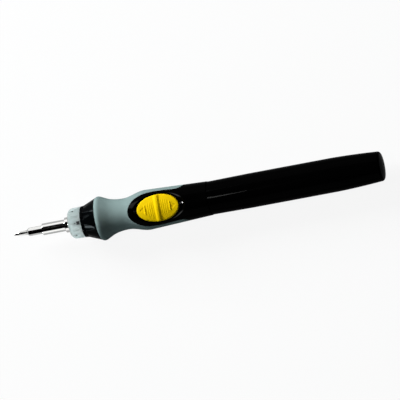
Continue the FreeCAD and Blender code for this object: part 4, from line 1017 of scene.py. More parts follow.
@dataclass
class BitHolder(Assembly):
    """The chrome holder with its hex socket."""

    barrel: float = 3.1
    barrel_length: float = 12.35
    flange: float = 4.0
    flange_cone: float = 0.3
    flange_width: float = 2.3
    shank: float = 2.5
    tail: float = 2.15
    tail_flat: float = 1.7
    tail_length: float = 1.25
    socket_flats: float = 4.12
    mouth_widen: float = 0.2
    mouth_depth: float = 0.3
    pocket: float = 1.87
    pocket_depth: float = 2.95
    ease: float = 0.1
    barrel_ease: float = 0.15
    flange_ease: float = 0.12
    tail_ease: float = 0.05
    step: float = 0.4
    segments: int = 120
    front: float = field(init=False)
    back: float = field(init=False)
    socket_end: float = field(init=False)

    def __post_init__(self) -> None:
        """Take the ends of the holder and its socket from the CAD nodes."""
        self.front, self.back = self.axis.span("bit_holder")
        self.socket_end = self.axis.span("socket_magnet")[0]

    def outside(self) -> list[Spot]:
        """Draw the outline of the outside.

        Returns:
            Place and radius of its points, from the socket's mouth to the tail.
        """
        flange_x = self.front + self.barrel_length
        flange_back = flange_x + self.flange_width
        tail_x = self.back - self.tail_length
        corners = [
            Corner(self.front, self.socket_flats / 2 + self.mouth_widen),
            Corner(self.front, self.barrel, self.barrel_ease),
            Corner(flange_x, self.barrel, self.barrel_ease),
            Corner(flange_x + self.flange_cone, self.flange, self.ease),
            Corner(flange_back, self.flange, self.flange_ease),
            Corner(flange_back, self.shank, self.ease),
            Corner(tail_x, self.shank, self.ease),
            Corner(tail_x, self.tail, self.tail_ease),
            Corner(self.back, self.tail, self.ease),
            Corner(self.back, self.tail / 2),
        ]
        return rounded(corners, self.step, False)

    def outer_ring(self, x: float, r: float) -> Ring:
        """A ring of the outside, with the flats on the tail."""
        flat = self.tail_flat if x > self.back - self.tail_length else self.flange
        return lambda angle: (x, min(r, flat / max(SLACK, abs(math.cos(angle)))))

    def socket_ring(self, x: float, widen: float = 0.0) -> Ring:
        """A ring of the hex socket."""
        return lambda angle: (x, hexagon_radius(self.socket_flats, angle) + widen)

    def build(self) -> list[Object]:
        """Skin the magnet's pocket, the socket and the outside.

        Returns:
            The holder.
        """
        maker = MeshMaker(self.axis)
        pocket_end = self.socket_end + self.pocket_depth
        inside = [
            lambda angle: (pocket_end, self.pocket),
            lambda angle: (self.socket_end, self.pocket),
            self.socket_ring(self.socket_end),
            self.socket_ring(self.front + self.mouth_depth),
            self.socket_ring(self.front, self.mouth_widen),
        ]
        rings = inside + [self.outer_ring(x, r) for x, r in self.outside()]
        rows = maker.lathe(rings, self.segments, False)
        maker.fan(rows[0], pocket_end)
        maker.fan(rows[-1], self.back)
        made = maker.piece("chrome_holder", self.paints.slot(Slot.HOLDER_CHROME))
        return [self.seat(made, Body.SPINDLE, Slot.HOLDER_CHROME, "bit_holder")]


@dataclass
class TorqueDial(Assembly):
    """The light-grey dial with its flutes and printed marks; marks count from its front or its back."""

    settings: int = 7
    front_r: float = 7.95
    front_round: float = 2.8
    mouth: float = 5.2
    web_lead: float = 1.3
    web: float = 1.4
    bore: float = 4.3
    inside: float = 6.3
    key_r: float = 6.9
    key_half: float = 0.9
    keys: int = 3
    ease: float = 0.1
    back_ease: float = 0.15
    skin_margin: float = 0.2
    flute_r: float = 1.3
    flute_depth: float = 0.3
    flute_run: float = 2.4
    flute_from_back: float = 1.9
    proud: float = 0.03
    raised: float = 0.1
    sunk: float = 0.08
    dot_at: float = 3.5
    dot_r: float = 0.45
    arrow_tip: float = 0.9
    arrow_base: float = 1.5
    arrow_half: float = 0.45
    dash: Spot = (4.1, 4.7)
    dash_half: float = 0.22
    block_from_back: Spot = (2.1, 0.4)
    block_half: float = 0.85
    number_at: float = 1.85
    number_tall: float = 1.5
    number_top_share: float = 0.7
    number_curve_steps: int = 4
    step: float = 0.22
    segments: int = 252
    start: float = field(init=False)
    back: float = field(init=False)
    widest: float = field(init=False)

    BOX_SHARES = np.linspace(-1, 1, 7)
    DOT_SHARES = np.linspace(-0.97, 0.97, 11)
    ARROW_SHARES = np.linspace(-1, 1, 9)
    ARROW_LEAST_SHARE = 0.02

    def __post_init__(self) -> None:
        """Take the dial's ends and its widest radius from the CAD node."""
        self.start, self.back = self.axis.span("torque_dial")
        self.widest = self.axis.reach("torque_dial")

    @property
    def web_back(self) -> float:
        """Where the web inside the dial ends."""
        return self.start + self.web_lead + self.web

    def corners(self) -> list[Corner]:
        """Draw the half outline.

        Returns:
            Its corners, round the outside and back through the inside.
        """
        web_x = self.start + self.web_lead
        return [
            Corner(self.start, self.mouth, self.ease),
            Corner(self.start, self.front_r, self.front_round),
            Corner(self.back, self.widest, self.back_ease),
            Corner(self.back, self.inside, self.ease),
            Corner(self.web_back, self.inside, self.ease),
            Corner(self.web_back, self.bore, self.ease),
            Corner(web_x, self.bore, self.ease),
            Corner(web_x, self.mouth, self.ease),
        ]

    def skin_radius(self, x: float) -> float:
        """Radius of the smooth outside, with its rounded front.

        Args:
            x: place along the axis.

        Returns:
            The radius there.
        """
        lead = x - self.start
        straight = self.front_r + (self.widest - self.front_r) * lead / (self.back - self.start)
        short = max(0.0, self.front_round - lead)
        return straight - self.front_round + math.sqrt(self.front_round ** 2 - short ** 2)

    def flute_drop(self, x: float, angle: float) -> float:
        """How deep the nearest flute cuts into the outside.

        Args:
            x: place along the axis.
            angle: angle from straight up.

        Returns:
            The depth, 0 between flutes.
        """
        step = TURN / self.settings
        off = (angle % step) - step / 2
        end = self.back - self.flute_from_back
        past = max(0.0, x - end, end - self.flute_run - x)
        reach = self.flute_r ** 2 - (off * self.widest) ** 2 - past ** 2
        return max(0.0, math.sqrt(reach) - self.flute_r + self.flute_depth) if reach > 0 else 0.0

    def key_radius(self, r: float, angle: float) -> float:
        """Radius of the bore.

        Args:
            r: the plain bore's radius.
            angle: angle from straight up.

        Returns:
            The radius there, wider where a key slot runs.
        """
        step = TURN / self.keys
        off = abs((angle + step / 2) % step - step / 2) * self.inside
        return self.key_r if off < self.key_half else r

    def ring(self, x: float, r: float) -> Ring:
        """One ring of the dial.

        Args:
            x: place along the axis.
            r: the outline's radius there.

        Returns:
            The ring, with flutes outside and key slots inside.
        """
        if r > self.inside + self.skin_margin and x > self.start + self.front_round / 2:
            return lambda angle: (x, r - self.flute_drop(x, angle))
        if x > self.web_back and abs(r - self.inside) < SLACK:
            return lambda angle: (x, self.key_radius(r, angle))
        return lambda angle: (x, r)

    def build(self) -> list[Object]:
        """Skin the dial and lay its marks on it.

        Returns:
            The dial, its marks and its numbers.
        """
        maker = MeshMaker(self.axis)
        outline = rounded(self.corners(), self.step, True)
        maker.lathe([self.ring(x, r) for x, r in outline], self.segments, True)
        made = maker.piece("dial_cup", self.paints.slot(Slot.DIAL_GREY))
        return [self.seat(made, Body.DIAL, Slot.DIAL_GREY, "torque_dial"), self.marks(), self.numbers()]

    def patch(self, maker: MeshMaker, angle: float, rows: Iterable[Triple]) -> None:
        """Lay one thin printed patch on the dial.

        Args:
            maker: the mesh that takes it.
            angle: where its middle lies round the dial.
            rows: sideways offset, front end and back end of each row, in millimetres.
        """
        loops = []
        for across, front, back in rows:
            turned = angle + across / self.widest
            places = [(front, self.proud), (back, self.proud), (back, -self.sunk), (front, -self.sunk)]
            loop = [self.axis.around(x, self.skin_radius(x) + lift, turned) for x, lift in places]
            loops.append(maker.row(loop))
        maker.skin(loops)
        maker.mesh.faces.new(loops[0])
        maker.mesh.faces.new(reversed(loops[-1]))

    def box_rows(self, front: float, back: float, half: float) -> list[Triple]:
        """Rows of a rectangular patch."""
        return [(half * part, front, back) for part in self.BOX_SHARES]

    def dot_rows(self, middle: float) -> list[Triple]:
        """Rows of a round patch."""
        pairs = zip(self.DOT_SHARES, self.dot_r * np.sqrt(1 - self.DOT_SHARES ** 2))
        return [(self.dot_r * part, middle - far, middle + far) for part, far in pairs]

    def arrow_rows(self, tip: float, base: float) -> list[Triple]:
        """Rows of a small arrowhead that points to the front."""
        shares = [(part, 1 + self.ARROW_LEAST_SHARE - abs(part)) for part in self.ARROW_SHARES]
        return [(self.arrow_half * part, base - (base - tip) * share, base) for part, share in shares]

    def marks(self) -> Object:
        """Print a dot at each setting but the first, which gets the index.

        Returns:
            The printed marks.
        """
        maker = MeshMaker(self.axis)
        step = TURN / self.settings
        for index in range(1, self.settings):
            self.patch(maker, index * step, self.dot_rows(self.start + self.dot_at))
        dash_front, dash_back = (self.start + lead for lead in self.dash)
        block_front, block_back = (self.back - tail for tail in self.block_from_back)
        self.patch(maker, 0.0, self.arrow_rows(self.start + self.arrow_tip, self.start + self.arrow_base))
        self.patch(maker, 0.0, self.box_rows(dash_front, dash_back, self.dash_half))
        self.patch(maker, 0.0, self.box_rows(block_front, block_back, self.block_half))
        made = maker.piece("dial_marks", self.paints.of(DIAL_INK))
        return self.seat(made, Body.DIAL, Slot.DIAL_GREY)

    def numbers(self) -> Object:
        """Print the setting's number beside each mark.

        Returns:
            The printed numbers.
        """
        maker = MeshMaker(self.axis)
        for index in range(self.settings):
            self.number(maker, str(index + 1), index * TURN / self.settings)
        made = maker.piece("dial_numbers", self.paints.of(DIAL_FAINT_INK))
        return self.seat(made, Body.DIAL, Slot.DIAL_GREY)

    def number(self, maker: MeshMaker, text: str, angle: float) -> None:
        """Wrap one number round the dial.

        Args:
            maker: the mesh that takes it.
            text: the number.
            angle: where it stands round the dial.
        """
        letters = bpy.data.curves.new("dial_number", "FONT")
        letters.body = text
        letters.align_x = "CENTER"
        letters.size = self.number_tall
        letters.extrude = (self.raised + self.sunk) / 2
        letters.resolution_u = self.number_curve_steps
        holder = bpy.data.objects.new("dial_number", letters)
        flat = bpy.data.meshes.new_from_object(holder)
        foot = self.start + self.number_at + self.number_top_share * self.number_tall
        middle = (self.raised - self.sunk) / 2
        for vert in flat.vertices:
            across, up, lift = vert.co
            radius = self.skin_radius(foot - up) + middle + lift
            vert.co = self.axis.around(foot - up, radius, angle + across / self.widest)
        maker.mesh.from_mesh(flat)
        bpy.data.objects.remove(holder)
        bpy.data.curves.remove(letters)
        bpy.data.meshes.remove(flat)


@dataclass
class NoseCollar(Assembly):
    """The black cone with hollow flats behind the dial."""

    front_r: float = 8.25
    lip_length: float = 1.7
    lip_r: float = 8.37
    back_r: float = 11.15
    inside: float = 6.5
    case: float = 6.8
    wall: float = 2.5
    skirt: float = 9.4
    skirt_length: float = 1.95
    skirt_margin: float = 0.2
    ease: float = 0.1
    edge_ease: float = 0.15
    lip_ease: float = 1.0
    flats: int = 8
    flat_start: float = 1.2
    flat_run: float = 4.7
    flat_low: float = 7.87
    flat_high: float = 10.13
    flat_margin: float = 0.5
    hollow_r: float = 16.0
    hollow_deep: float = 0.1
    step: float = 0.2
    segments: int = 288
    front: float = field(init=False)
    rear: float = field(init=False)

    def __post_init__(self) -> None:
        """Take the collar's ends from the CAD node."""
        self.front, self.rear = self.axis.span("nose_collar")

    def flat_radius(self, x: float, angle: float) -> float:
        """Where the nearest flat, a little hollow across, cuts the cone.

        Args:
            x: place along the axis.
            angle: angle from straight up.

        Returns:
            The flat's radius, or the cone's widest one in front of the flats.
        """
        step = TURN / self.flats
        off = angle % step - step / 2
        along = x - self.front - self.flat_start
        if along < 0:
            return self.back_r
        level = self.flat_low + along * (self.flat_high - self.flat_low) / self.flat_run
        rise = (level * math.tan(off)) ** 2 / (2 * self.hollow_r) - self.hollow_deep
        return (level + rise) / math.cos(off)

    def ring(self, x: float, r: float) -> Ring:
        """One ring of the collar.

        Args:
            x: place along the axis.
            r: the outline's radius there.

        Returns:
            The ring, cut by the flats where it is the outside.
        """
        in_bore = r < self.flat_low - self.flat_margin
        in_skirt = r <= self.skirt + SLACK and x > self.rear - self.skirt_length - self.skirt_margin
        if in_bore or in_skirt:
            return lambda angle: (x, r)
        return lambda angle: (x, min(r, self.flat_radius(x, angle)))

    def build(self) -> list[Object]:
        """Skin the cone round the outside and back through the inside.

        Returns:
            The collar.
        """
        corners = [
            Corner(self.front, self.inside, self.ease),
            Corner(self.front, self.front_r, self.edge_ease),
            Corner(self.front + self.lip_length, self.lip_r, self.lip_ease),
            Corner(self.rear, self.back_r, self.edge_ease),
            Corner(self.rear, self.skirt, self.ease),
            Corner(self.rear - self.skirt_length, self.skirt, self.ease),
            Corner(self.rear - self.skirt_length, self.case, self.ease),
            Corner(self.front + self.wall, self.case, self.ease),
            Corner(self.front + self.wall, self.inside, self.ease),
        ]
        maker = MeshMaker(self.axis)
        rings = [self.ring(x, r) for x, r in rounded(corners, self.step, True)]
        maker.lathe(rings, self.segments, True)
        made = maker.piece("collar_cone", self.paints.slot(Slot.COLLAR_BLACK))
        return [self.seat(made, Body.HANDLE, Slot.COLLAR_BLACK, "nose_collar")]


@dataclass
class GripSleeve(Assembly):
    """The grey soft sleeve, open round the switch; stations count from its front or from the switch."""

    edge: float = 11.15
    rim: float = 11.75
    rim_from_front: float = 1.5
    rim_back: float = 11.25
    rim_back_from_front: float = 3.2
    neck: float = 9.506
    neck_from_front: float = 7.0
    waist: float = 8.4
    waist_from_front: float = 12.7
    waist_length: float = 3.6
    rise: float = 10.028
    rise_lead: float = 11.5
    swell: float = 10.6
    swell_lead: float = 7.0
    back_r: float = 9.05
    thickness: float = 1.05
    edge_round: float = 0.3
    bezel_lead: float = 16.85
    bezel_half: float = 9.0
    bezel_wide_lead: float = 3.8
    bezel_pinch: float = 0.4
    bezel_pinch_tail: float = 6.5
    flare: float = 10.05
    outline_steps: int = 24
    opening_steps: int = 40
    front_rows: int = 90
    bend_rows: int = 60
    rear_rows: int = 50
    column_count: int = 200
    front: float = field(init=False)
    rear: float = field(init=False)
    switch: float = field(init=False)
    seam: float = field(init=False)
    outline: np.ndarray = field(init=False)
    opening: np.ndarray = field(init=False)

    FIRST_SLOPE_SHARE = 2.0
    MOST_OPEN_SHARE = 0.999

    def __post_init__(self) -> None:
        """Take the sleeve's ends, the switch and the seam from the CAD nodes and fit the curves."""
        self.front, self.rear = self.axis.span("grip_sleeve")
        self.switch = self.axis.middle("switch_button")
        self.seam = self.axis.span("upper_shell")[1]
        self.outline = self.fit_outline()
        self.opening = self.fit_opening()

    def fit_outline(self) -> np.ndarray:
        """Fit the curve of the sleeve's outside.

        Returns:
            Place and radius of points along it.
        """
        waist_x = self.front + self.waist_from_front
        swell_x = self.switch - self.swell_lead
        points = [
            (self.front, self.edge),
            (self.front + self.rim_from_front, self.rim),
            (self.front + self.rim_back_from_front, self.rim_back),
            (self.front + self.neck_from_front, self.neck),
            (waist_x, self.waist),
            (waist_x + self.waist_length, self.waist),
            (self.switch - self.rise_lead, self.rise),
            (swell_x, self.swell),
        ]
        leave = (self.rim_from_front, self.FIRST_SLOPE_SHARE * (self.rim - self.edge))
        taper = (self.seam - swell_x, self.back_r - self.swell)
        curve = SmoothCurve(points, leave, taper).sample(self.outline_steps)
        return np.vstack([curve, [(self.seam, self.back_r)]])

    def fit_opening(self) -> np.ndarray:
        """Fit the curve of the cut-out round the switch.

        Returns:
            Place and half width of points along it.
        """
        start = self.switch - self.bezel_lead
        wide = self.switch - self.bezel_wide_lead
        slant = math.sqrt(0.5)
        points = [
            (start, 0.0),
            (wide - (wide - start) * slant, self.bezel_half * slant),
            (wide, self.bezel_half),
            (self.switch + self.bezel_pinch_tail, self.bezel_half - self.bezel_pinch),
            (self.rear, self.flare),
        ]
        return SmoothCurve(points, (0.0, 1.0), (1.0, 1.0)).sample(self.opening_steps)

    def radius(self, x: float) -> float:
        """Radius of the sleeve's outside."""
        return float(np.interp(x, self.outline[:, 0], self.outline[:, 1]))

    def gap(self, x: float) -> float:
        """How far the sleeve stands open round the switch.

        Args:
            x: place along the axis.

        Returns:
            Angle from straight up at which the sleeve starts, 0 in front of the cut-out.
        """
        if x <= self.opening[0, 0]:
            return 0.0
        half = float(np.interp(x, self.opening[:, 0], self.opening[:, 1]))
        return math.asin(min(self.MOST_OPEN_SHARE, half / self.radius(x)))

    def stations(self) -> list[float]:
        """Set out the rows.

        Returns:
            Their places, close together at the ends and where the cut-out starts.
        """
        start = self.opening[0, 0]
        ease = self.edge_round
        plain = np.linspace(self.front + ease, start, self.front_rows)
        turns = np.linspace(0, math.pi / 2, self.bend_rows)[1:]
        bend = start + (self.switch - start) * (1 - np.cos(turns))
        rest = np.linspace(self.switch, self.rear - ease, self.rear_rows)[1:]
        first = [self.front + part * ease for part in LIP_SHARES]
        last = [self.rear - part * ease for part in reversed(LIP_SHARES)]
        return [*first, *plain, *bend, *rest, *last]

    def columns(self, x: float) -> list[Spot]:
        """Set out the points of one row.

        Args:
            x: place of the row along the axis.

        Returns:
            Their angles, and how far each lies from the cut-out's edge.
        """
        radius = self.radius(x)
        gap = self.gap(x)
        ease = self.edge_round / radius
        inner = np.linspace(gap + ease, TURN - gap - ease, self.column_count)
        first = [gap + part * ease for part in LIP_SHARES]
        last = [TURN - gap - part * ease for part in reversed(LIP_SHARES)]
        angles = [*first, *inner, *last]
        if gap == 0:
            return [(angle, self.edge) for angle in angles]
        return [(angle, min(angle - gap, TURN - gap - angle) * radius) for angle in angles]

    def build(self) -> list[Object]:
        """Skin the outside and the inside and close the edges between them.

        Returns:
            The sleeve.
        """
        maker = MeshMaker(self.axis)
        outside, inside = [], []
        for x in self.stations():
            radius = self.radius(x)
            spots = self.columns(x)
            end_fall = round_fall(min(x - self.front, self.rear - x), self.edge_round)
            skin = [radius - max(end_fall, round_fall(away, self.edge_round)) for _, away in spots]
            low = radius - self.thickness
            outside.append(maker.row(self.axis.around(x, r, a) for r, (a, _) in zip(skin, spots)))
            inside.append(maker.row(self.axis.around(x, low, a) for a, _ in spots))
        maker.skin(outside, ring=False)
        maker.skin(inside, ring=False)
        apex = sum(self.gap(x) == 0 for x in self.stations()) - 1
        for edge in (0, -1):
            maker.skin([outside[edge], inside[edge]], ring=False)
            maker.skin([[row[edge] for row in rows[apex:]] for rows in (outside, inside)], ring=False)
        made = maker.piece("soft_sleeve", self.paints.slot(Slot.GRIP_GREY))
        return [self.seat(made, Body.HANDLE, Slot.GRIP_GREY, "grip_sleeve")]


@dataclass
class ThumbSlide(Assembly):
    """The yellow oval slide; its relief counts from the middle."""

    top: float = 10.75
    crown_r: float = 20.0
    sag: float = 0.75
    sag_reach: float = 14.0
    ridge_half: float = 1.9
    ridge_soft: float = 0.8
    ridge_high: float = 0.75
    bar_at: float = 6.8
    bar_half: float = 0.3
    bar_soft: float = 0.22
    bar_reach: float = 2.4
    bar_end_soft: float = 0.25
    bar_high: float = 0.35
    rib_pitch: float = 1.05
    rib_high: float = 0.12
    rib_start: float = 1.9
    rib_end: float = 6.0
    rib_soft: float = 0.2
    rib_reach: float = 4.7
    rib_end_soft: float = 0.5
    rib_narrow_share: float = 0.25
    arrow_base: float = 7.55
    arrow_tip: float = 10.0
    arrow_half: float = 1.75
    arrow_inset: float = 0.15
    arrow_soft: float = 0.18
    arrow_base_soft_share: float = 0.06
    arrow_deep: float = 0.4
    edge_round: float = 0.55
    edge_from_share: float = 0.5
    under: float = 8.8
    stem_half_length: float = 1.7
    stem_half_width: float = 1.3
    stem_overlap: float = 0.4
    slice_step: float = 0.09
    plain_share: float = 0.93
    tail_slices: int = 22
    columns: int = 84
    middle: float = field(init=False)
    half_length: float = field(init=False)
    half_width: float = field(init=False)
    foot: float = field(init=False)

    def __post_init__(self) -> None:
        """Take the oval's half sizes and the stem's foot from the CAD node."""
        front, back = self.axis.span("switch_button")
        self.middle = (front + back) / 2
        self.half_length = (back - front) / 2
        self.half_width = self.axis.reach("switch_button")
        self.foot = (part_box("switch_button")[0].z - self.axis.height) / MM

    def relief(self, along: float, across: float) -> float:
        """Height of ridges, ribs and sunk arrows over the plain crown.

        Args:
            along: distance from the middle, along the tool.
            across: distance from the middle, across it.

        Returns:
            Height in millimetres.
        """
        ahead = abs(along)
        ridge = self.ridge_high * bell(along, self.ridge_half - self.ridge_soft, self.ridge_soft)
        bar = bell(ahead - self.bar_at, self.bar_half, self.bar_soft)
        bar *= self.bar_high * bell(across, self.bar_reach, self.bar_end_soft)
        rib_middle, rib_half = (self.rib_start + self.rib_end) / 2, (self.rib_end - self.rib_start) / 2
        ribs = self.rib_high * bell(ahead - rib_middle, rib_half, self.rib_soft)
        ribs *= (1 + math.cos(TURN * ahead / self.rib_pitch)) / 2
        ribs *= bell(across, self.rib_reach - self.rib_narrow_share * ahead, self.rib_end_soft)
        return ridge + bar + ribs - self.arrow_deep * self.arrow(ahead, across)

    def arrow(self, ahead: float, across: float) -> float:
        """How far a place lies inside the sunk arrow.

        Args:
            ahead: distance from the middle towards the nearer end.
            across: distance from the middle, across the tool.

        Returns:
            1 inside, 0 outside.
        """
        share = (self.arrow_tip - ahead) / (self.arrow_tip - self.arrow_base)
        if share <= 0:
            return 0.0
        side = bell(across, self.arrow_half * share - self.arrow_inset, self.arrow_soft)
        return side * bell(min(0.0, 1 - share), 0.0, self.arrow_base_soft_share)

    def height(self, along: float, across: float) -> float:
        """Height of the top above the tool's axis.

        Args:
            along: distance from the middle, along the tool.
            across: distance from the middle, across it.

        Returns:
            Height in millimetres.
        """
        crown = self.top - self.sag * (along / self.sag_reach) ** 2
        crown -= self.crown_r - math.sqrt(self.crown_r ** 2 - across * across)
        return crown + self.relief(along, across) - self.edge_fall(along, across)

    def edge_fall(self, along: float, across: float) -> float:
        """How far the top falls at the oval's rounded rim.

        Args:
            along: distance from the middle, along the tool.
            across: distance from the middle, across it.

        Returns:
            The fall in millimetres.
        """
        share = math.hypot(along / self.half_length, across / self.half_width)
        if share < self.edge_from_share:
            return 0.0
        slope = math.hypot(along / self.half_length ** 2, across / self.half_width ** 2)
        return round_fall(max(0.0, (1 - share) * share / slope), self.edge_round)

    def stations(self) -> list[float]:
        """Set out the slices.

        Returns:
            Their distances from the middle, close together at both ends of the oval.
        """
        plain = self.plain_share * self.half_length
        middle = np.arange(-plain, plain, self.slice_step)[1:]
        turns = np.linspace(math.asin(self.plain_share), math.pi / 2, self.tail_slices)
        tail = self.half_length * np.sin(turns)
        return [*-tail[::-1], *middle, *tail]

    def build(self) -> list[Object]:
        """Skin the top, the underside and the wall between them, and add the stem.

        Returns:
            The slide.
        """
        maker = MeshMaker(self.axis)
        tops, floors = [], []
        spread = np.sin(np.linspace(-math.pi / 2, math.pi / 2, self.columns))
        for along in self.stations():
            half = self.half_width * math.sqrt(max(0.0, 1 - (along / self.half_length) ** 2))
            spots = [half * part for part in spread]
            floor = [math.sqrt(self.under ** 2 - y * y) for y in spots]
            x = self.middle + along
            tops.append(maker.row(self.axis.point(x, y, self.height(along, y)) for y in spots))
            floors.append(maker.row(self.axis.point(x, y, z) for y, z in zip(spots, floor)))
        maker.skin(tops, ring=False)
        maker.skin(floors, ring=False)
        for edge in (0, -1):
            maker.skin([[row[edge] for row in tops], [row[edge] for row in floors]], ring=False)
        self.add_stem(maker)
        made = maker.piece("thumb_slide", self.paints.slot(Slot.SWITCH_YELLOW))
        return [self.seat(made, Body.SWITCH, Slot.SWITCH_YELLOW, "switch_button")]

    def add_stem(self, maker: MeshMaker) -> None:
        """Add the square stem that reaches down to the carriage.

        Args:
            maker: the mesh that takes it.
        """
        sides = ((-1, -1), (1, -1), (1, 1), (-1, 1))
        corners = [(self.middle + a * self.stem_half_length, b * self.stem_half_width) for a, b in sides]
        heights = (self.foot, self.under + self.stem_overlap)
        loops = [maker.row(self.axis.point(x, y, z) for x, y in corners) for z in heights]
        maker.skin(loops)
        for loop in loops:
            maker.mesh.faces.new(loop)


@dataclass(frozen=True)
class CoilSpring:
    """A spring between two bodies, with the end that sits on the body that pushes it."""

    name: str
    node: str
    held_by: Body
    pushed_by: Body
    pushed_end: End


class Springs(Assembly):
    """The springs that a joint shortens, which a CAD solid can't follow."""

    COILS = (
        CoilSpring("nut_coil", "clutch_spring", Body.DIAL, Body.NUT, End.FRONT),
        CoilSpring("slide_coil_front", "return_spring_front", Body.HANDLE, Body.SWITCH, End.REAR),
        CoilSpring("slide_coil_rear", "return_spring_rear", Body.HANDLE, Body.SWITCH, End.FRONT),
    )

    def build(self) -> list[Object]:
        """Make every spring."""
        return [self.stretch(coil) for coil in self.COILS]

    def stretch(self, coil: CoilSpring) -> Object:
        """Copy a CAD spring's turns into a new piece and hide the CAD spring.

        Args:
            coil: the spring and its seats.

        Returns:
            The piece that stands for the CAD spring.
        """
        data = frame["nodes"][coil.node].data.copy()
        data.name = coil.name
        data.materials.clear()
        data.materials.append(self.paints.slot(Slot.SPRING_STEEL))
        made = stand(coil.name, data)
        front, rear = (self.axis.point(x) for x in self.axis.span(coil.node))
        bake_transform(made)
        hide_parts(coil.node)
        LOG.info("spring %s from %s to %s", coil.name, coil.held_by.value, coil.pushed_by.value)
        return made


@dataclass
class Chassis(Assembly):
    """The CAD nodes that stay as they are and only get their finish."""

    dish_half_length: float = 14.8
    dish_half_width: float = 7.7

    def finish(self, node: str, slot: Slot) -> Finish:
        """Choose the finish of a CAD node.

        Args:
            node: the node's name.
            slot: its slot in the record.

        Returns:
            The slot's finish, with a polished lip where the node is the upper shell.
        """
        plain = FINISHES[slot]
        if node != "upper_shell":
            return plain
        middle = self.axis.point(self.axis.middle("switch_button")) / MM
        lip = DishLip((middle.x, middle.y), self.dish_half_length, self.dish_half_width)
        return replace(plain, name=f"{plain.name}_dish", lip=lip)

    def build(self) -> list[Object]:
        """Give every CAD node that still shows the finish of its slot.

        Returns:
            The nodes that were dressed.
        """
        dressed = []
        for part in frame["record"]["subparts"]:
            node = frame["nodes"][part["node"]]
            if node.hide_render:
                continue
            finish = self.finish(part["node"], Slot(part["material_slot"]))
            node.data.materials.clear()
            node.data.materials.append(self.paints.of(finish))
            dressed.append(node)
            LOG.info("dressed %s with %s", part["node"], finish.name)
        return dressed


@dataclass(frozen=True)
class Lamp:
    """A soft lamp.

    It hangs at a distance in metres, on the way from a point of the axis, in millimetres from the tip.
    It can light one piece only, or spare one.
    """

    name: str
    aim: float
    toward: Triple
    distance: float
    wide: float
    tall: float
    watts: float
    colour: Colour = WHITE
    only: str = ""
    spare: str = ""


FRONT_LAMP = Lamp(
    "front_high", aim=60.0, toward=(-0.78, 0.588, 0.2), distance=1.2, wide=0.1, tall=0.08, watts=1.6,
    colour=(0.8, 0.95, 1.0), spare="dial_cup",
)
DIAL_LAMP = Lamp(
    "dial_high", aim=34.0, toward=(-0.1, 0.85, 0.5), distance=1.2, wide=0.5, tall=0.5, watts=16.0,
    only="dial_cup",
)
LAMPS = (
    Lamp(
        "key", aim=72.0, toward=(-0.6, 0.65, 0.46), distance=1.28, wide=0.6, tall=0.6, watts=25.0,
        spare="dial_cup",
    ),
    FRONT_LAMP,
    replace(FRONT_LAMP, name="front_low", toward=(-0.83, -0.52, 0.2)),
    DIAL_LAMP,
    replace(DIAL_LAMP, name="dial_low", toward=(-0.1, -0.85, 0.5)),
    Lamp(
        "tip_gleam", aim=94.0, toward=(-0.93, -0.33, 0.1), distance=1.2, wide=1.4, tall=0.15, watts=1.0,
        only="upper_shell",
    ),
    Lamp("gleam", aim=90.0, toward=(-0.208, 0.1125, 0.972), distance=1.0, wide=0.02, tall=0.13, watts=0.8),
    Lamp(
        "side_gleam", aim=85.0, toward=(-0.208, 0.785, 0.583), distance=1.0, wide=0.01, tall=0.06,
        watts=0.05,
    ),
)


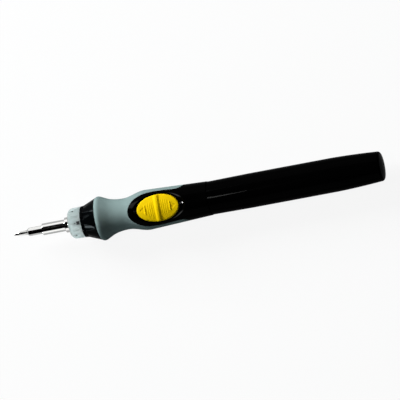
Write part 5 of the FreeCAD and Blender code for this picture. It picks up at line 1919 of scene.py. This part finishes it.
@dataclass
class Studio:
    """Floor, lamps, world and camera; angles are degrees, places on the axis millimetres, lengths metres."""

    axis: ToolAxis
    tilt: float = 12.0
    roll: float = 10.61
    distance: float = 8.0
    image_width: float = 0.2105
    sensor: float = 36.0
    clip: Spot = (0.05, 50.0)
    aim_from_tip: float = 101.8
    floor_size: float = 6.0
    floor_colour: Colour = (0.3, 0.31, 0.31)
    floor_shown: Colour = (0.93, 0.95, 0.95)
    speck: float = 40.0
    speck_share: float = 0.02
    white_share: float = 0.9
    mirror_share: float = 0.25
    room_colour: Colour = (0.85, 0.97, 1.0)
    room_strength: float = 0.03
    overhead_dark: Spot = (0.58, 0.72)
    rear_dark: Spot = (0.15, 0.45)
    front_lean_from: float = 0.2
    front_lean: float = 0.9
    lamp_end_on: float = 0.8

    def camera(self) -> Object:
        """Stand the camera at the photograph's angle.

        Returns:
            The scene's camera.
        """
        tilt, roll = math.radians(self.tilt), math.radians(self.roll)
        toward = Vector((math.sin(tilt), 0, math.cos(tilt)))
        level = Vector((math.cos(tilt), 0, -math.sin(tilt)))
        side = Vector((0, 1, 0))
        right = math.cos(roll) * level - math.sin(roll) * side
        up = math.sin(roll) * level + math.cos(roll) * side
        data = bpy.data.cameras.new("camera")
        data.sensor_width = self.sensor
        data.lens = self.sensor * self.distance / self.image_width
        data.clip_start, data.clip_end = self.clip
        made = stand("camera", data)
        turn = Matrix((right, up, toward)).transposed().to_4x4()
        place = self.axis.point(self.aim_from_tip) + toward * self.distance
        made.matrix_world = Matrix.Translation(place) @ turn
        bpy.context.scene.camera = made
        return made

    def floor_paint(self) -> Material:
        """Make the floor's material, which looks white and keeps the tool's shadow.

        Returns:
            The material.
        """
        paint = bpy.data.materials.new("floor_white")
        paint.use_nodes = True
        graph = ShaderGraph(paint.node_tree)
        speck = graph.noise(graph.place(), self.speck)
        camera = graph.ray("Is Camera Ray")
        paper = graph.blend(camera, tinted(self.floor_colour), tinted(self.floor_shown))
        base = graph.blend(speck * self.speck_share, paper, tinted(BLACK))
        matt = graph.node("ShaderNodeBsdfDiffuse", {}, {"Color": base})
        white = graph.node("ShaderNodeEmission", {}, {"Color": tinted(WHITE), "Strength": 1.0})
        seen = camera.at_least(graph.ray("Is Transmission Ray")) * self.white_share
        share = seen.at_least(graph.ray("Is Glossy Ray") * self.mirror_share)
        shader = graph.node("ShaderNodeMixShader", {}, {0: share, 1: matt, 2: white})
        graph.node("ShaderNodeOutputMaterial", {}, {"Surface": shader})
        return paint

    def floor(self) -> Object:
        """Lay a plain pale floor.

        Returns:
            The floor, which is not part of the tool.
        """
        half = self.floor_size / 2
        data = bpy.data.meshes.new("floor")
        corners = [(-half, -half, 0), (half, -half, 0), (half, half, 0), (-half, half, 0)]
        data.from_pydata(corners, [], [(0, 1, 2, 3)])
        data.materials.append(self.floor_paint())
        made = stand("floor", data)
        return made

    def world(self) -> None:
        """Light the room: white near the horizon, dark overhead as shiny metal shows it."""
        made = bpy.data.worlds.new("studio")
        made.use_nodes = True
        bpy.context.scene.world = made
        graph = ShaderGraph(made.node_tree)
        facing = graph.node("ShaderNodeTexCoord", output="Generated")
        ahead, height = graph.part(facing, "X"), graph.part(facing, "Z")
        lean = (-self.front_lean_from - ahead).at_least(0.0) * self.front_lean
        bright = (1 - (height + lean).mask(*self.overhead_dark)) * (1 - ahead.mask(*self.rear_dark))
        glossy = graph.ray("Is Glossy Ray")
        shown = graph.ray("Is Camera Ray").at_least(glossy * bright)
        levels = ((self.room_colour, self.room_strength), (BLACK, 0.0), (WHITE, 1.0))
        room, dark, white = (
            graph.node("ShaderNodeBackground", {}, {"Color": tinted(colour), "Strength": strength})
            for colour, strength in levels
        )
        dim = graph.node("ShaderNodeMixShader", {}, {0: glossy, 1: room, 2: dark})
        shader = graph.node("ShaderNodeMixShader", {}, {0: shown, 1: dim, 2: white})
        graph.node("ShaderNodeOutputWorld", {}, {"Surface": shader})

    def hang(self, lamp: Lamp) -> Object:
        """Hang a soft lamp that looks at the tool.

        Args:
            lamp: its place, size and power.

        Returns:
            The lamp's object.
        """
        data = bpy.data.lights.new(lamp.name, "AREA")
        data.shape = "RECTANGLE"
        data.size, data.size_y = lamp.wide, lamp.tall
        data.energy = lamp.watts
        data.color = lamp.colour
        back = Vector(lamp.toward).normalized()
        level = Vector((0, 1, 0)) if abs(back.x) > self.lamp_end_on else Vector((1, 0, 0))
        side = (level - back * level.dot(back)).normalized()
        turn = Matrix((side, back.cross(side), back)).transposed().to_4x4()
        made = stand(lamp.name, data)
        made.matrix_world = Matrix.Translation(self.axis.point(lamp.aim) + back * lamp.distance) @ turn
        if lamp.only or lamp.spare:
            lit = bpy.data.collections.new(f"{lamp.name}_lit")
            lit.objects.link(bpy.data.objects[lamp.only or lamp.spare])
            lit.collection_objects[0].light_linking.link_state = "INCLUDE" if lamp.only else "EXCLUDE"
            made.light_linking.receiver_collection = lit
        LOG.info("lamp %s, %.2f W", lamp.name, lamp.watts)
        return made

    def build(self) -> None:
        """Set up floor, world, lamps and camera."""
        self.floor()
        self.world()
        for lamp in LAMPS:
            self.hang(lamp)
        self.camera()


def main() -> None:
    """Build every sub-assembly in order, dress the rest and set up the studio."""
    logging.basicConfig(level=logging.INFO, format="%(name)s: %(message)s")
    bpy.context.scene.view_settings.view_transform = "Standard"
    axis = ToolAxis.from_frame()
    paints = Paintbox()
    kinds = (ScrewBit, BitHolder, TorqueDial, NoseCollar, GripSleeve, ThumbSlide, Springs, Chassis)
    for kind in kinds:
        pieces = kind(axis, paints).build()
        LOG.info("%s: %d pieces", kind.__name__, len(pieces))
    Studio(axis).build()


if __name__ == "__main__":
    main()
